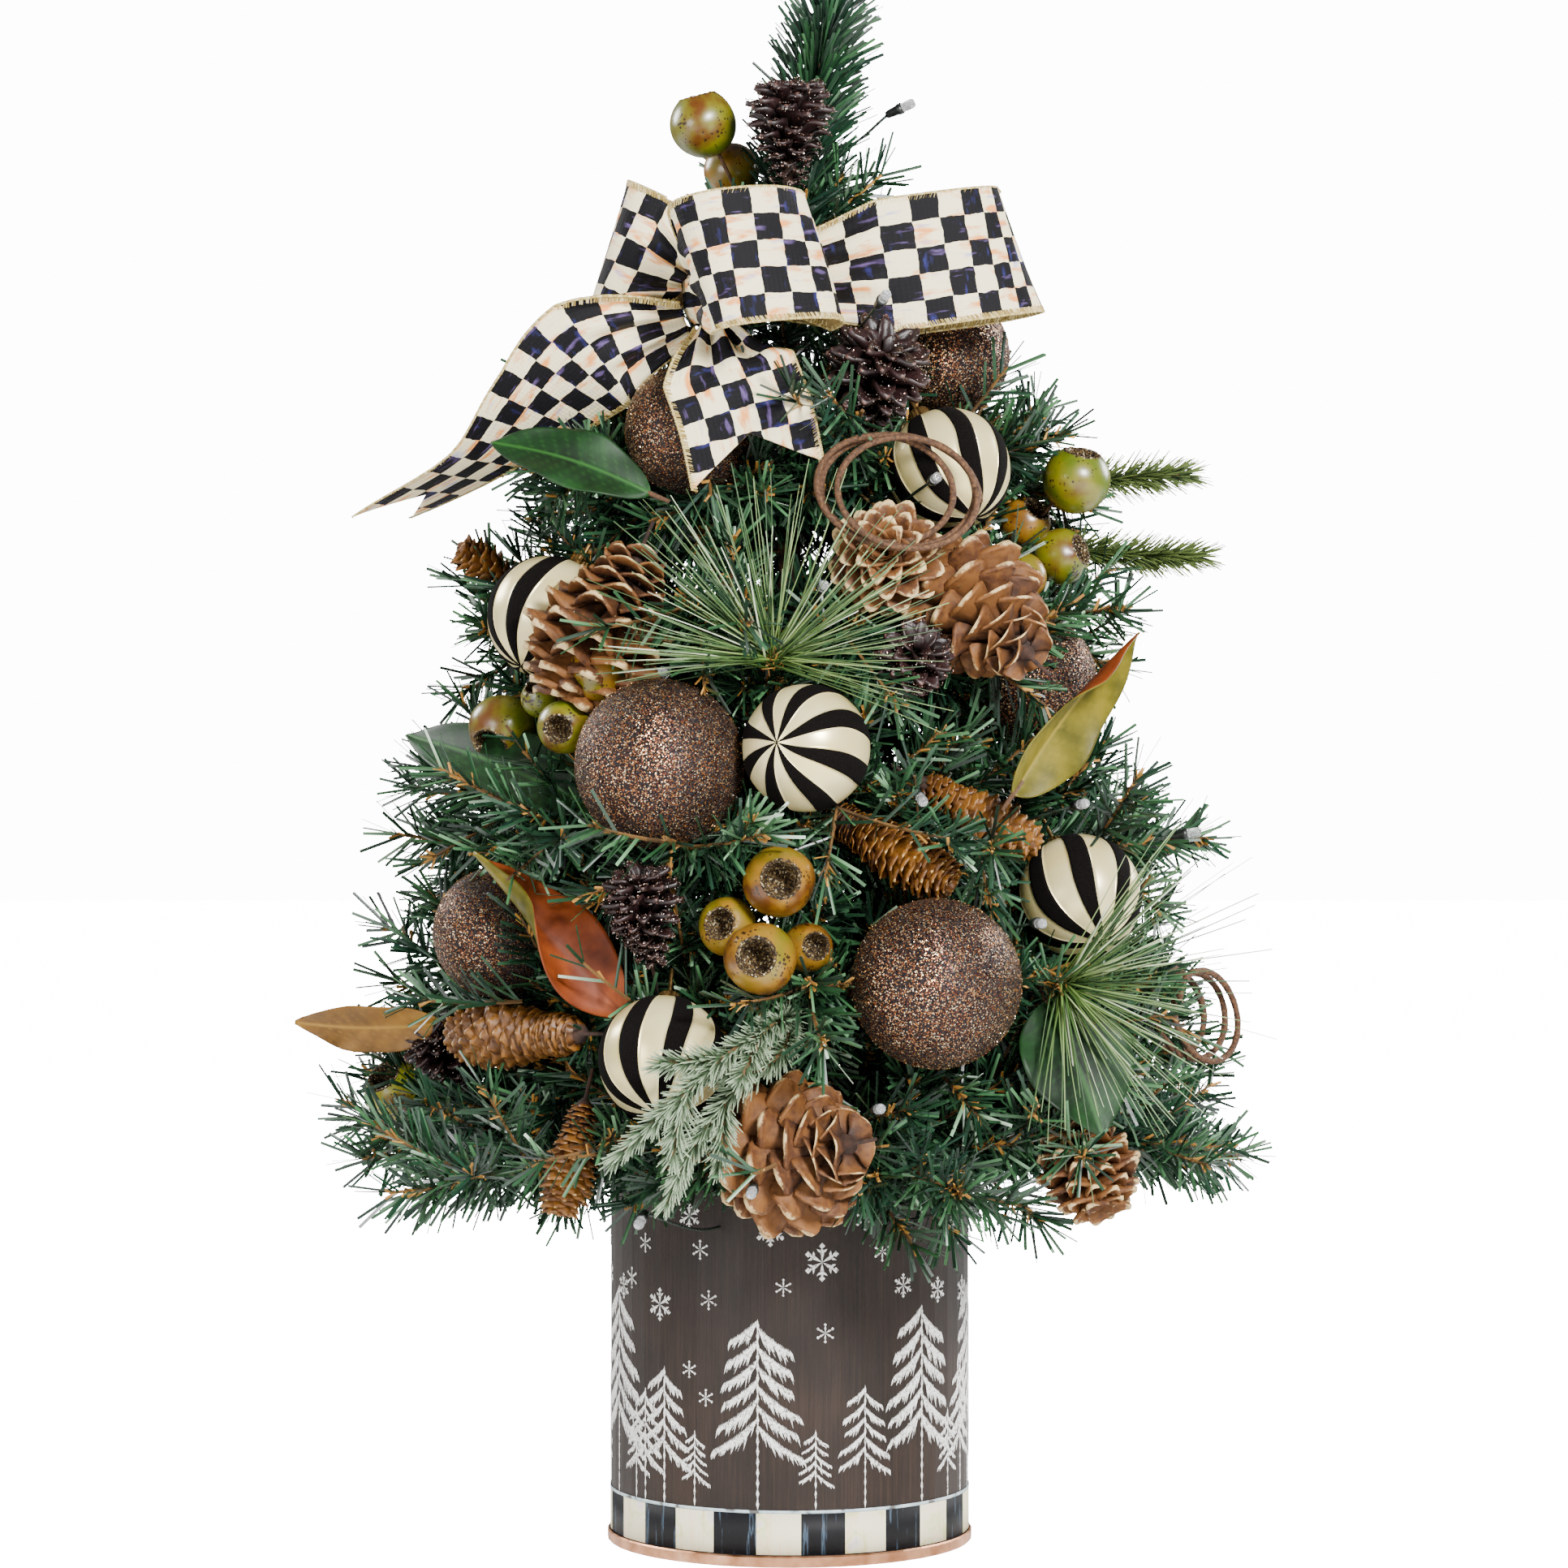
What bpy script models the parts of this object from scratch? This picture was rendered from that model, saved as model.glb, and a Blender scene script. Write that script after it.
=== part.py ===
"""A tabletop Christmas tree: wired branches on a pole, set with foam and plaster in a round tin pot,
with a ribbon bow, balls, cones, pods, leaves, vines and a battery light string.

Metres, +Z up, the front of the tree towards -Y. The pot stands on the table at z = 0.
Heights of everything on the tree are measured from the rim of the pot.
"""

import math

import bmesh
import bpy
from mathutils import Matrix, Vector
from mathutils.bvhtree import BVHTree

# ---------------------------------------------------------------- sizes

GAP = 0.0003  # between pieces that touch

POT_RADIUS = 0.089
POT_HEIGHT = 0.190
TIN = 0.0008
RIM_BEAD = 0.0012
LIP_HEIGHT = 0.0056
LIP_THICKNESS = 0.0014
BASE_THICKNESS = 0.0012
POT_STEPS = 48

PLASTER_HEIGHT = 0.026
MOSS_BELOW_RIM = 0.004
MOSS_CHAMFER = 0.006

POLE_RADIUS = 0.0055
POLE_TOP = 0.440  # above the rim, where the leader starts
LEADER_TIP = Vector((0.024, 0.0, 0.585))
LEADER_RADIUS = 0.017
HUB_WALL = 0.0045
HUB_HEIGHT = 0.014

CELL_DIAMETER = 0.0142
CELL_LENGTH = 0.0503
CELL_GAP = 0.0004
CONTACT_ROOM = 0.0012
CASE_WALL = 0.0016
LID_THICKNESS = 0.0015
LID_RAIL = 0.0014  # how far the lid's edges run inside the side walls
SWITCH_ROOM = Vector((0.0160, 0.0072, 0.0044))
SWITCH_FLANGE = Vector((0.0106, 0.0060, 0.0016))
SWITCH_KNOB = Vector((0.0050, 0.0032, 0.0052))
SWITCH_TRAVEL = 0.0048
CASE_TO_WALL = 0.0085  # from the case's outer face to the inside of the pot
LID_TRAVEL = 0.056

WIRE_RADIUS = 0.0010
LIGHT_STRING_RADIUS = 0.0010
LIGHT_STRING_OFF_POLE = 0.021
LIGHT_STRING_TURNS = 3.5
LIGHT_STRING_TOP = 0.400  # above the rim
VINE_RADIUS = 0.0019

BRANCH_ROOT = 0.0032
BRANCH_FULL = 0.0120
BRANCH_CLEARANCE = 0.0006
BRANCH_SHORTEST = 0.030

RIBBON_WIDTH = 0.0635
RIBBON_THICKNESS = 0.0008
KNOT_SIZE = Vector((0.015, 0.013, 0.019))
LEAF_THICKNESS = 0.0009

CAP_RADIUS = 0.0055
CAP_HEIGHT = 0.0070
STEM_LENGTH = 0.015
BALL_STEPS = 12
CONE_STEPS = 9
POD_STEPS = 8

# height above the rim, height of the branch tips, reach from the pole, number of branches, first angle
TIERS = [
    (0.036, 0.012, 0.214, 15, 4),
    (0.094, 0.084, 0.194, 14, 16),
    (0.164, 0.172, 0.182, 13, 2),
    (0.250, 0.264, 0.156, 11, 20),
    (0.334, 0.352, 0.124, 9, 8),
]

# centre, radius, direction of the cap and its wire
GLITTER_BALLS = [
    ((0.080, -0.014, 0.396), 0.030, (-0.7, 0.5, 0.5)),
    ((-0.049, -0.083, 0.355), 0.030, (0.3, 0.9, 0.1)),
    ((-0.062, -0.139, 0.194), 0.039, (0.4, 0.9, 0.2)),
    ((0.069, -0.152, 0.092), 0.039, (-0.4, 0.9, 0.1)),
    ((-0.143, -0.081, 0.114), 0.030, (0.8, 0.5, -0.1)),
    ((0.121, -0.050, 0.236), 0.030, (-0.9, 0.4, 0.1)),
]
STRIPED_BALLS = [
    ((0.078, -0.074, 0.334), 0.0285, (-0.4, 0.4, 0.8)),
    ((-0.118, -0.067, 0.263), 0.0285, (0.4, 0.4, 0.8)),
    ((0.006, -0.157, 0.202), 0.0285, (0.45, 0.87, -0.1)),
    ((0.140, -0.087, 0.129), 0.0285, (-0.3, 0.6, 0.7)),
    ((-0.059, -0.162, 0.055), 0.0285, (0.05, 0.6, 0.8)),
]
# centre, radius, length, direction of the tip
OPEN_CONES = [
    ((-0.082, -0.103, 0.277), 0.030, 0.070, (0.05, -0.35, 0.95)),
    ((0.047, -0.110, 0.289), 0.028, 0.046, (-0.10, -0.95, 0.20)),
    ((0.099, -0.119, 0.253), 0.029, 0.066, (0.10, -0.50, -0.85)),
    ((0.013, -0.171, 0.014), 0.036, 0.056, (0.18, -0.93, -0.30)),
    ((0.138, -0.098, 0.012), 0.025, 0.052, (0.30, -0.50, -0.80)),
]
SPRUCE_CONES = [
    ((0.045, -0.133, 0.156), 0.019, 0.078, (0.84, -0.40, -0.46)),
    ((0.089, -0.104, 0.171), 0.017, 0.070, (0.85, 0.35, -0.45)),
    ((-0.129, -0.102, 0.066), 0.0215, 0.096, (-0.68, 0.73, -0.03)),
    ((-0.101, -0.149, 0.012), 0.017, 0.054, (-0.20, -0.05, -0.97)),
]
FROSTED_CONES = [
    ((0.000, -0.045, 0.500), 0.022, 0.048, (0.05, -0.20, 0.97)),
    ((0.038, -0.080, 0.374), 0.026, 0.056, (0.30, -0.66, 0.69)),
    ((-0.067, -0.151, 0.121), 0.019, 0.046, (-0.10, -0.45, 0.89)),
]
# junction of the stems, then each pod's centre, radius and direction of its crater
POD_PICKS = [
    ((-0.015, -0.004, 0.462), [
        ((-0.043, -0.020, 0.511), 0.0170, (-0.2, -0.1, 0.97)),
        ((-0.029, 0.006, 0.492), 0.0140, (-0.5, 0.1, 0.85)),
    ]),
    ((0.104, 0.012, 0.300), [
        ((0.141, -0.028, 0.335), 0.0170, (0.2, -0.3, 0.93)),
        ((0.117, -0.006, 0.315), 0.0130, (0.5, -0.6, 0.6)),
        ((0.134, -0.022, 0.297), 0.0145, (0.8, -0.5, 0.3)),
        ((0.114, -0.046, 0.286), 0.0120, (-0.2, -0.9, -0.3)),
    ]),
    ((-0.093, -0.066, 0.215), [
        ((-0.139, -0.064, 0.212), 0.0170, (-0.4, -0.7, -0.6)),
        ((-0.107, -0.111, 0.212), 0.0130, (-0.2, -0.95, -0.1)),
        ((-0.119, -0.088, 0.226), 0.0100, (-0.3, -0.6, 0.7)),
        ((-0.091, -0.114, 0.238), 0.0145, (0.1, -0.6, 0.8)),
    ]),
    ((-0.008, -0.122, 0.118), [
        ((-0.005, -0.162, 0.140), 0.0170, (0.05, -0.97, 0.10)),
        ((-0.029, -0.152, 0.119), 0.0140, (-0.30, -0.90, 0.15)),
        ((-0.014, -0.177, 0.105), 0.0170, (-0.10, -0.97, 0.10)),
        ((0.008, -0.150, 0.109), 0.0120, (0.40, -0.90, 0.10)),
    ]),
]
# base, tip, direction that the face looks in, width, sag, fold, twist in degrees
LEAVES = [
    ((-0.066, -0.120, 0.322), (-0.142, -0.104, 0.347), (-0.25, -0.75, 0.62), 0.034, 0.006, 0.20, 0),
    ((0.104, -0.140, 0.180), (0.168, -0.068, 0.258), (0.55, -0.75, -0.10), 0.040, -0.006, 0.45, 20),
    ((-0.077, -0.136, 0.077), (-0.150, -0.113, 0.152), (-0.30, -0.85, 0.20), 0.042, 0.006, 0.30, 80),
    ((-0.166, -0.060, 0.069), (-0.243, -0.030, 0.068), (-0.10, -0.90, -0.40), 0.025, 0.005, 0.25, 10),
    ((0.121, -0.116, 0.082), (0.146, -0.136, 0.021), (0.30, -0.90, 0.20), 0.056, 0.004, 0.20, 0),
]
# hub, lean of the whole fan towards the front, then angles in the view from the front (degrees) and length
NEEDLE_SPRAYS = [
    ((-0.008, -0.143, 0.243), 0.42, (-12, 4, 20, 36, 52, 68, 84, 100, 116, 132, 148, 164, 180), 0.088),
    ((0.128, -0.130, 0.091), 0.50, (-100, -78, -56, -36, -18, 0, 16, 30, 44, 118), 0.094),
]
# stems of each pick, as points with the sprig's radius
SPRUCE_PICKS = [
    [
        [(0.000, -0.150, 0.078), (-0.005, -0.176, 0.076), (-0.030, -0.198, 0.061), (-0.056, -0.203, 0.037),
         (-0.080, -0.194, 0.014)],
        [(0.000, -0.150, 0.074), (-0.004, -0.178, 0.062), (-0.026, -0.188, 0.044), (-0.044, -0.190, 0.020),
         (-0.056, -0.188, -0.006)],
    ],
    [
        [(0.106, 0.020, 0.315), (0.135, 0.016, 0.334), (0.165, 0.012, 0.338), (0.198, 0.008, 0.340)],
        [(0.106, 0.020, 0.315), (0.135, 0.016, 0.304), (0.168, 0.012, 0.300), (0.203, 0.006, 0.299)],
    ],
]
SPRIG_RADII = (0.0020, 0.0075, 0.0100, 0.0085, 0.0035)

# middle of the coil, the coil's axis, radius, turns, step from turn to turn
VINES = [
    ((0.050, -0.134, 0.322), (0.15, -0.90, 0.42), 0.034, 3.0, 0.0062),
    ((0.197, -0.030, 0.072), (0.75, -0.62, 0.20), 0.025, 3.5, 0.0075),
]

KNOT = Vector((-0.036, -0.080, 0.421))
# outward direction, direction of the bulge, width direction, length, half bulge
BOW_LOOPS = {
    "bow_loop_left": ((-0.86, 0.28, 0.42), (0.20, 0.98, 0.0), (0.28, 0.0, 0.96), 0.058, 0.020),
    "bow_loop_front": ((0.46, -0.87, 0.20), (0.90, 0.42, 0.10), (-0.30, 0.0, 0.95), 0.064, 0.034),
    "bow_loop_right": ((0.98, 0.11, 0.15), (-0.10, 1.0, 0.0), (-0.38, 0.0, 0.92), 0.150, 0.017),
}
# route of the middle of the ribbon, with the width direction at each point
BOW_TAILS = {
    "bow_tail_left": [
        ((-0.050, -0.086, 0.407), (-0.40, -0.30, 0.87)),
        ((-0.090, -0.086, 0.393), (-0.40, -0.45, 0.80)),
        ((-0.118, -0.074, 0.369), (-0.35, -0.75, 0.55)),
        ((-0.150, -0.056, 0.341), (-0.10, -0.95, 0.22)),
        ((-0.200, -0.034, 0.316), (0.00, -0.99, 0.12)),
    ],
    "bow_tail_front": [
        ((-0.036, -0.096, 0.404), (0.96, 0.10, -0.20)),
        ((-0.030, -0.110, 0.384), (0.97, -0.05, -0.15)),
        ((-0.021, -0.120, 0.358), (0.97, -0.10, -0.10)),
        ((-0.015, -0.124, 0.330), (0.97, -0.10, -0.08)),
    ],
}
TAIL_NOTCH = 0.020

COLOURS = {
    "painted_tin": ((0.065, 0.052, 0.043), 0.45, 0.5),
    "copper": ((0.55, 0.26, 0.13), 0.35, 1.0),
    "plaster": ((0.75, 0.73, 0.70), 0.9, 0.0),
    "moss": ((0.10, 0.11, 0.03), 1.0, 0.0),
    "bark": ((0.12, 0.07, 0.03), 0.8, 0.0),
    "foliage": ((0.030, 0.090, 0.035), 0.6, 0.0),
    "case_plastic": ((0.015, 0.015, 0.016), 0.45, 0.0),
    "cell": ((0.60, 0.45, 0.05), 0.35, 0.3),
    "wire": ((0.010, 0.020, 0.010), 0.5, 0.0),
    "ribbon": ((0.45, 0.42, 0.36), 0.6, 0.0),
    "glitter": ((0.16, 0.08, 0.045), 0.5, 0.4),
    "striped": ((0.72, 0.66, 0.50), 0.35, 0.0),
    "cone": ((0.27, 0.11, 0.035), 0.7, 0.0),
    "frosted_cone": ((0.060, 0.020, 0.020), 0.6, 0.1),
    "pod": ((0.30, 0.24, 0.03), 0.4, 0.0),
    "leaf": ((0.030, 0.075, 0.015), 0.45, 0.0),
    "needle": ((0.20, 0.30, 0.12), 0.6, 0.0),
    "vine": ((0.17, 0.085, 0.035), 0.85, 0.0),
}

# ---------------------------------------------------------------- scene and helpers

for old in list(bpy.data.objects):
    bpy.data.objects.remove(old, do_unlink=True)

tree = bpy.data.collections.new("tabletop_tree")
bpy.context.scene.collection.children.link(tree)
cutters = bpy.data.collections.new("cutters")
cutters.hide_render = True
bpy.context.scene.collection.children.link(cutters)


def material(name, finish):
    """A Principled material of the named finish for one piece."""
    colour, roughness, metallic = COLOURS[finish]
    made = bpy.data.materials.new(name)
    made.use_nodes = True
    shader = made.node_tree.nodes["Principled BSDF"]
    shader.inputs["Base Color"].default_value = (*colour, 1.0)
    shader.inputs["Roughness"].default_value = roughness
    shader.inputs["Metallic"].default_value = metallic
    made.diffuse_color = (*colour, 1.0)
    return made


def piece(name, data, finish, smooth=True):
    """Puts mesh or curve data into the tree's collection under the node's name."""
    made = bpy.data.objects.new(name, data)
    tree.objects.link(made)
    data.materials.append(material(name, finish))
    if smooth and made.type == "MESH":
        data.shade_smooth()
    return made


def cutter(name, data):
    """Puts mesh data into the cutters' collection."""
    made = bpy.data.objects.new(name, data)
    made.hide_render = True
    made.display_type = "WIRE"
    cutters.objects.link(made)
    return made


def above_rim(point):
    """A point on the tree, from its height above the pot's rim."""
    return Vector(point) + Vector((0.0, 0.0, POT_HEIGHT))


def facing(direction):
    """A rotation that turns local +Z to the direction."""
    return Vector(direction).to_track_quat("Z", "Y").to_matrix().to_4x4()


def mesh_from(bm, name):
    """A mesh of the bmesh, its faces turned out."""
    bmesh.ops.recalc_face_normals(bm, faces=bm.faces)
    mesh = bpy.data.meshes.new(name)
    bm.to_mesh(mesh)
    bm.free()
    return mesh


def box(name, low, high):
    """A box between two corners."""
    low = Vector(low)
    high = Vector(high)
    bm = bmesh.new()
    size = Matrix.Diagonal((*(high - low), 1.0))
    bmesh.ops.create_cube(bm, size=1.0, matrix=Matrix.Translation((low + high) / 2) @ size)
    return mesh_from(bm, name)


def profile_mesh(name, profile, closed=False):
    """The profile as a chain of edges at +X, for a Screw modifier."""
    bm = bmesh.new()
    chain = [bm.verts.new((radius, 0.0, height)) for radius, height in profile]
    for first, second in zip(chain, chain[1:]):
        bm.edges.new((first, second))
    if closed:
        bm.edges.new((chain[-1], chain[0]))
    mesh = bpy.data.meshes.new(name)
    bm.to_mesh(mesh)
    bm.free()
    return mesh


def add_screw(made, steps):
    """Turns the object's profile once around Z."""
    screw = made.modifiers.new("turn", "SCREW")
    screw.steps = steps
    screw.render_steps = steps
    screw.use_merge_vertices = True
    screw.merge_threshold = 0.00002
    screw.use_smooth_shade = True
    return made


def turned(name, profile, steps, finish, place=Matrix.Identity(4), closed=False):
    """A turned piece; its profile runs down the outer side, top first."""
    made = piece(name, profile_mesh(name, profile, closed), finish, smooth=False)
    made.matrix_world = place
    return add_screw(made, steps)


def baked(made):
    """The object's evaluated mesh in world coordinates, with the object removed."""
    bpy.context.view_layer.update()
    graph = bpy.context.evaluated_depsgraph_get()
    mesh = bpy.data.meshes.new_from_object(made.evaluated_get(graph))
    mesh.transform(made.matrix_world)
    bpy.data.objects.remove(made, do_unlink=True)
    bm = bmesh.new()
    bm.from_mesh(mesh)
    bmesh.ops.remove_doubles(bm, verts=bm.verts, dist=0.00001)
    bmesh.ops.recalc_face_normals(bm, faces=bm.faces)
    bm.to_mesh(mesh)
    bm.free()
    return mesh


def turned_mesh(profile, steps, place):
    """A turned shape as a plain mesh, ready to be joined."""
    made = cutter("turned", profile_mesh("turned", profile))
    made.matrix_world = place
    return baked(add_screw(made, steps))


def curve_data(name, points, radius, resolution=2, cyclic=False, radii=None):
    """A round tube along the points as a POLY curve with filled caps."""
    curve = bpy.data.curves.new(name, "CURVE")
    curve.dimensions = "3D"
    curve.bevel_depth = radius
    curve.bevel_resolution = resolution
    curve.use_fill_caps = True
    spline = curve.splines.new("POLY")
    spline.points.add(len(points) - 1)
    for index, point in enumerate(points):
        spline.points[index].co = (*point, 1.0)
        if radii:
            spline.points[index].radius = radii[index] / radius
    spline.use_smooth = True
    return curve


def tube_mesh(points, radii, resolution=1):
    """A tube with its own radius at each point as a plain mesh, ready to be joined."""
    data = curve_data("tube", points, max(radii), resolution, radii=radii)
    made = bpy.data.objects.new("tube", data)
    cutters.objects.link(made)
    return baked(made)


def joined(name, meshes, finish, cut=()):
    """One solid from the overlapping meshes, less the cutting ones."""
    base = cutter(name + "_base", meshes[0])
    helpers = []
    for operation, operands in (("UNION", meshes[1:]), ("DIFFERENCE", cut)):
        for operand in operands:
            helper = cutter(name + "_operand", operand)
            helpers.append(helper)
            step = base.modifiers.new(operation.lower(), "BOOLEAN")
            step.operation = operation
            step.solver = "EXACT"
            step.object = helper
    mesh = baked(base)
    mesh.materials.clear()
    for helper in helpers:
        bpy.data.objects.remove(helper, do_unlink=True)
    return piece(name, mesh, finish)


def arc(centre, radius, start, end, count):
    """Points (radius, height) on a half circle about the turning axis, angles in degrees from +Z."""
    points = []
    for step in range(count + 1):
        angle = math.radians(start + (end - start) * step / count)
        points.append((radius * math.sin(angle), centre + radius * math.cos(angle)))
    points[-1] = (max(points[-1][0], 0.0) if end < 180 else 0.0, points[-1][1])
    return points


def smooth_route(points, per_span):
    """Points on a smooth curve (Catmull-Rom) through the given ones."""
    points = [Vector(point) for point in points]
    ends = [2 * points[0] - points[1], *points, 2 * points[-1] - points[-2]]
    route = []
    for index in range(1, len(ends) - 2):
        before, start, end, after = ends[index - 1 : index + 3]
        for step in range(per_span):
            t = step / per_span
            route.append(
                0.5 * (2 * start + (end - before) * t + (2 * before - 5 * start + 4 * end - after) * t**2
                       + (3 * start - before - 3 * end + after) * t**3)
            )
    route.append(points[-1])
    return route


# ---------------------------------------------------------------- pot, weight, foam and pole

INSIDE_RADIUS = POT_RADIUS - TIN
PLASTER_TOP = BASE_THICKNESS + GAP + PLASTER_HEIGHT
MOSS_TOP = POT_HEIGHT - MOSS_BELOW_RIM
BORE_RADIUS = POLE_RADIUS + GAP
HUB_RADIUS = BORE_RADIUS + HUB_WALL
UP_Z = Vector((0.0, 0.0, 1.0))


def make_pot():
    """The tin wall with its beaded rim, standing inside the lip of the base."""
    bead = POT_RADIUS + RIM_BEAD
    turned("pot_wall", [
        (INSIDE_RADIUS, POT_HEIGHT),
        (bead - TIN / 2, POT_HEIGHT),
        (bead, POT_HEIGHT - TIN),
        (bead, POT_HEIGHT - 3 * TIN),
        (POT_RADIUS, POT_HEIGHT - 5 * TIN),
        (POT_RADIUS, BASE_THICKNESS + GAP),
        (INSIDE_RADIUS, BASE_THICKNESS + GAP),
    ], POT_STEPS, "painted_tin", closed=True)
    lip_inside = POT_RADIUS + GAP
    lip_outside = lip_inside + LIP_THICKNESS
    turned("pot_base", [
        (0.0, BASE_THICKNESS),
        (lip_inside, BASE_THICKNESS),
        (lip_inside, LIP_HEIGHT - LIP_THICKNESS / 2),
        (lip_inside + LIP_THICKNESS / 2, LIP_HEIGHT),
        (lip_outside, LIP_HEIGHT - LIP_THICKNESS / 2),
        (lip_outside, LIP_THICKNESS / 2),
        (lip_outside - LIP_THICKNESS / 2, 0.0),
        (0.0, 0.0),
    ], POT_STEPS, "copper")


def make_filling():
    """The plaster weight and the foam above it, both with a bore for the pole."""
    outer = INSIDE_RADIUS - GAP
    foot = BASE_THICKNESS + GAP
    turned("plaster_weight", [
        (BORE_RADIUS, PLASTER_TOP),
        (outer, PLASTER_TOP),
        (outer, foot),
        (BORE_RADIUS, foot),
    ], POT_STEPS // 2, "plaster", closed=True)
    turned("foam_plug", [
        (BORE_RADIUS, MOSS_TOP),
        (outer - MOSS_CHAMFER, MOSS_TOP),
        (outer, MOSS_TOP - MOSS_CHAMFER),
        (outer, PLASTER_TOP + GAP),
        (BORE_RADIUS, PLASTER_TOP + GAP),
    ], POT_STEPS // 2, "moss", closed=True)


def make_pole():
    """The pole from the base to the leader, which leans and is thick with needles."""
    foot = Vector((0.0, 0.0, BASE_THICKNESS + GAP))
    top = above_rim((0.0, 0.0, POLE_TOP))
    tip = above_rim(LEADER_TIP)
    pole = tube_mesh([foot, top + 0.02 * UP_Z], [POLE_RADIUS, POLE_RADIUS], 3)
    bend = (top + tip) / 2 + Vector((-0.004, 0.0, 0.0))
    leader = tube_mesh(
        smooth_route([top, bend, tip], 2),
        [POLE_RADIUS * 1.2, LEADER_RADIUS * 0.9, LEADER_RADIUS, LEADER_RADIUS * 0.8, LEADER_RADIUS * 0.25],
        2,
    )
    joined("trunk_pole", [pole, leader], "bark")


# ---------------------------------------------------------------- battery case

CHAMBER_WIDTH = 2 * CELL_DIAMETER + 3 * CELL_GAP
CHAMBER_DEPTH = CELL_DIAMETER + 2 * CELL_GAP
CHAMBER_HEIGHT = CELL_LENGTH + 2 * CONTACT_ROOM
LID_WIDTH = CHAMBER_WIDTH + 2 * LID_RAIL
CASE_WIDTH = LID_WIDTH + 2 * (GAP + CASE_WALL)
CASE_OUT = INSIDE_RADIUS - CASE_TO_WALL
LID_OUT = CASE_OUT - CASE_WALL - GAP
LID_IN = LID_OUT - LID_THICKNESS
CHAMBER_OUT = LID_IN - GAP
CHAMBER_IN = CHAMBER_OUT - CHAMBER_DEPTH
CASE_IN = CHAMBER_IN - CASE_WALL
CASE_FOOT = MOSS_TOP + GAP
FLOOR_TOP = CASE_FOOT + CASE_WALL
CHAMBER_TOP = FLOOR_TOP + CHAMBER_HEIGHT
ROOM_FLOOR = CHAMBER_TOP + CASE_WALL
ROOM_TOP = ROOM_FLOOR + SWITCH_ROOM.z
CASE_TOP = ROOM_TOP + CASE_WALL
CELL_Y = (CHAMBER_IN + CHAMBER_OUT) / 2
PAST = 0.002  # how far a cutter runs past the face it opens


def make_case():
    """The case: a chamber for two cells open at the back, rails for the lid, and a room for the switch."""
    half = CHAMBER_WIDTH / 2
    lid_half = LID_WIDTH / 2 + GAP
    body = box("case", (-CASE_WIDTH / 2, CASE_IN, CASE_FOOT), (CASE_WIDTH / 2, CASE_OUT, CASE_TOP))
    slot_half = SWITCH_KNOB.x / 2 + SWITCH_TRAVEL / 2 + GAP
    joined("battery_case", [body], "case_plastic", cut=[
        box("chamber", (-half, CHAMBER_IN, FLOOR_TOP), (half, CHAMBER_OUT + PAST / 4, CHAMBER_TOP)),
        box("rails", (-lid_half, CHAMBER_OUT, FLOOR_TOP), (lid_half, LID_OUT + GAP, CASE_TOP + PAST)),
        box("window", (-half, LID_OUT, FLOOR_TOP), (half, CASE_OUT + PAST, CASE_TOP + PAST)),
        box("room", (-SWITCH_ROOM.x / 2, CELL_Y - SWITCH_ROOM.y / 2, ROOM_FLOOR),
            (SWITCH_ROOM.x / 2, CELL_Y + SWITCH_ROOM.y / 2, ROOM_TOP)),
        box("slot", (-slot_half, CELL_Y - SWITCH_KNOB.y / 2 - GAP, ROOM_TOP - PAST / 4),
            (slot_half, CELL_Y + SWITCH_KNOB.y / 2 + GAP, CASE_TOP + PAST)),
    ]).data.shade_flat()


def make_lid():
    """The lid between the rails, its foot on the case's floor, with grip ribs near the top."""
    half = LID_WIDTH / 2
    top = CASE_TOP - CASE_WALL
    foot = FLOOR_TOP + GAP
    parts = [box("lid", (-half, LID_IN, foot), (half, LID_OUT, top))]
    rib = 0.0010
    for row in range(4):
        low = top - 0.006 - 3 * rib * row
        parts.append(box("rib", (-half / 2, LID_OUT - rib / 4, low - rib), (half / 2, LID_OUT + rib * 0.7, low)))
    lid = joined("battery_lid", parts, "case_plastic")
    lid.data.shade_flat()
    middle = Vector((0.0, (LID_IN + LID_OUT) / 2, (foot + top) / 2))
    lid.data.transform(Matrix.Translation(-middle))
    lid.location = middle


def make_switch():
    """The slide switch: a flange inside the room and a knob up through the slot, at the off end."""
    floor = ROOM_FLOOR + GAP
    flange = box(
        "flange",
        (-SWITCH_FLANGE.x / 2, CELL_Y - SWITCH_FLANGE.y / 2, floor),
        (SWITCH_FLANGE.x / 2, CELL_Y + SWITCH_FLANGE.y / 2, floor + SWITCH_FLANGE.z),
    )
    knob = box(
        "knob",
        (-SWITCH_KNOB.x / 2, CELL_Y - SWITCH_KNOB.y / 2, floor + SWITCH_FLANGE.z / 2),
        (SWITCH_KNOB.x / 2, CELL_Y + SWITCH_KNOB.y / 2, CASE_TOP + SWITCH_KNOB.z / 3),
    )
    switch = joined("power_switch", [flange, knob], "case_plastic")
    switch.data.shade_flat()
    middle = Vector((0.0, CELL_Y, CASE_TOP))
    switch.data.transform(Matrix.Translation(-middle))
    switch.location = middle - Vector((SWITCH_TRAVEL / 2, 0.0, 0.0))


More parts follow.
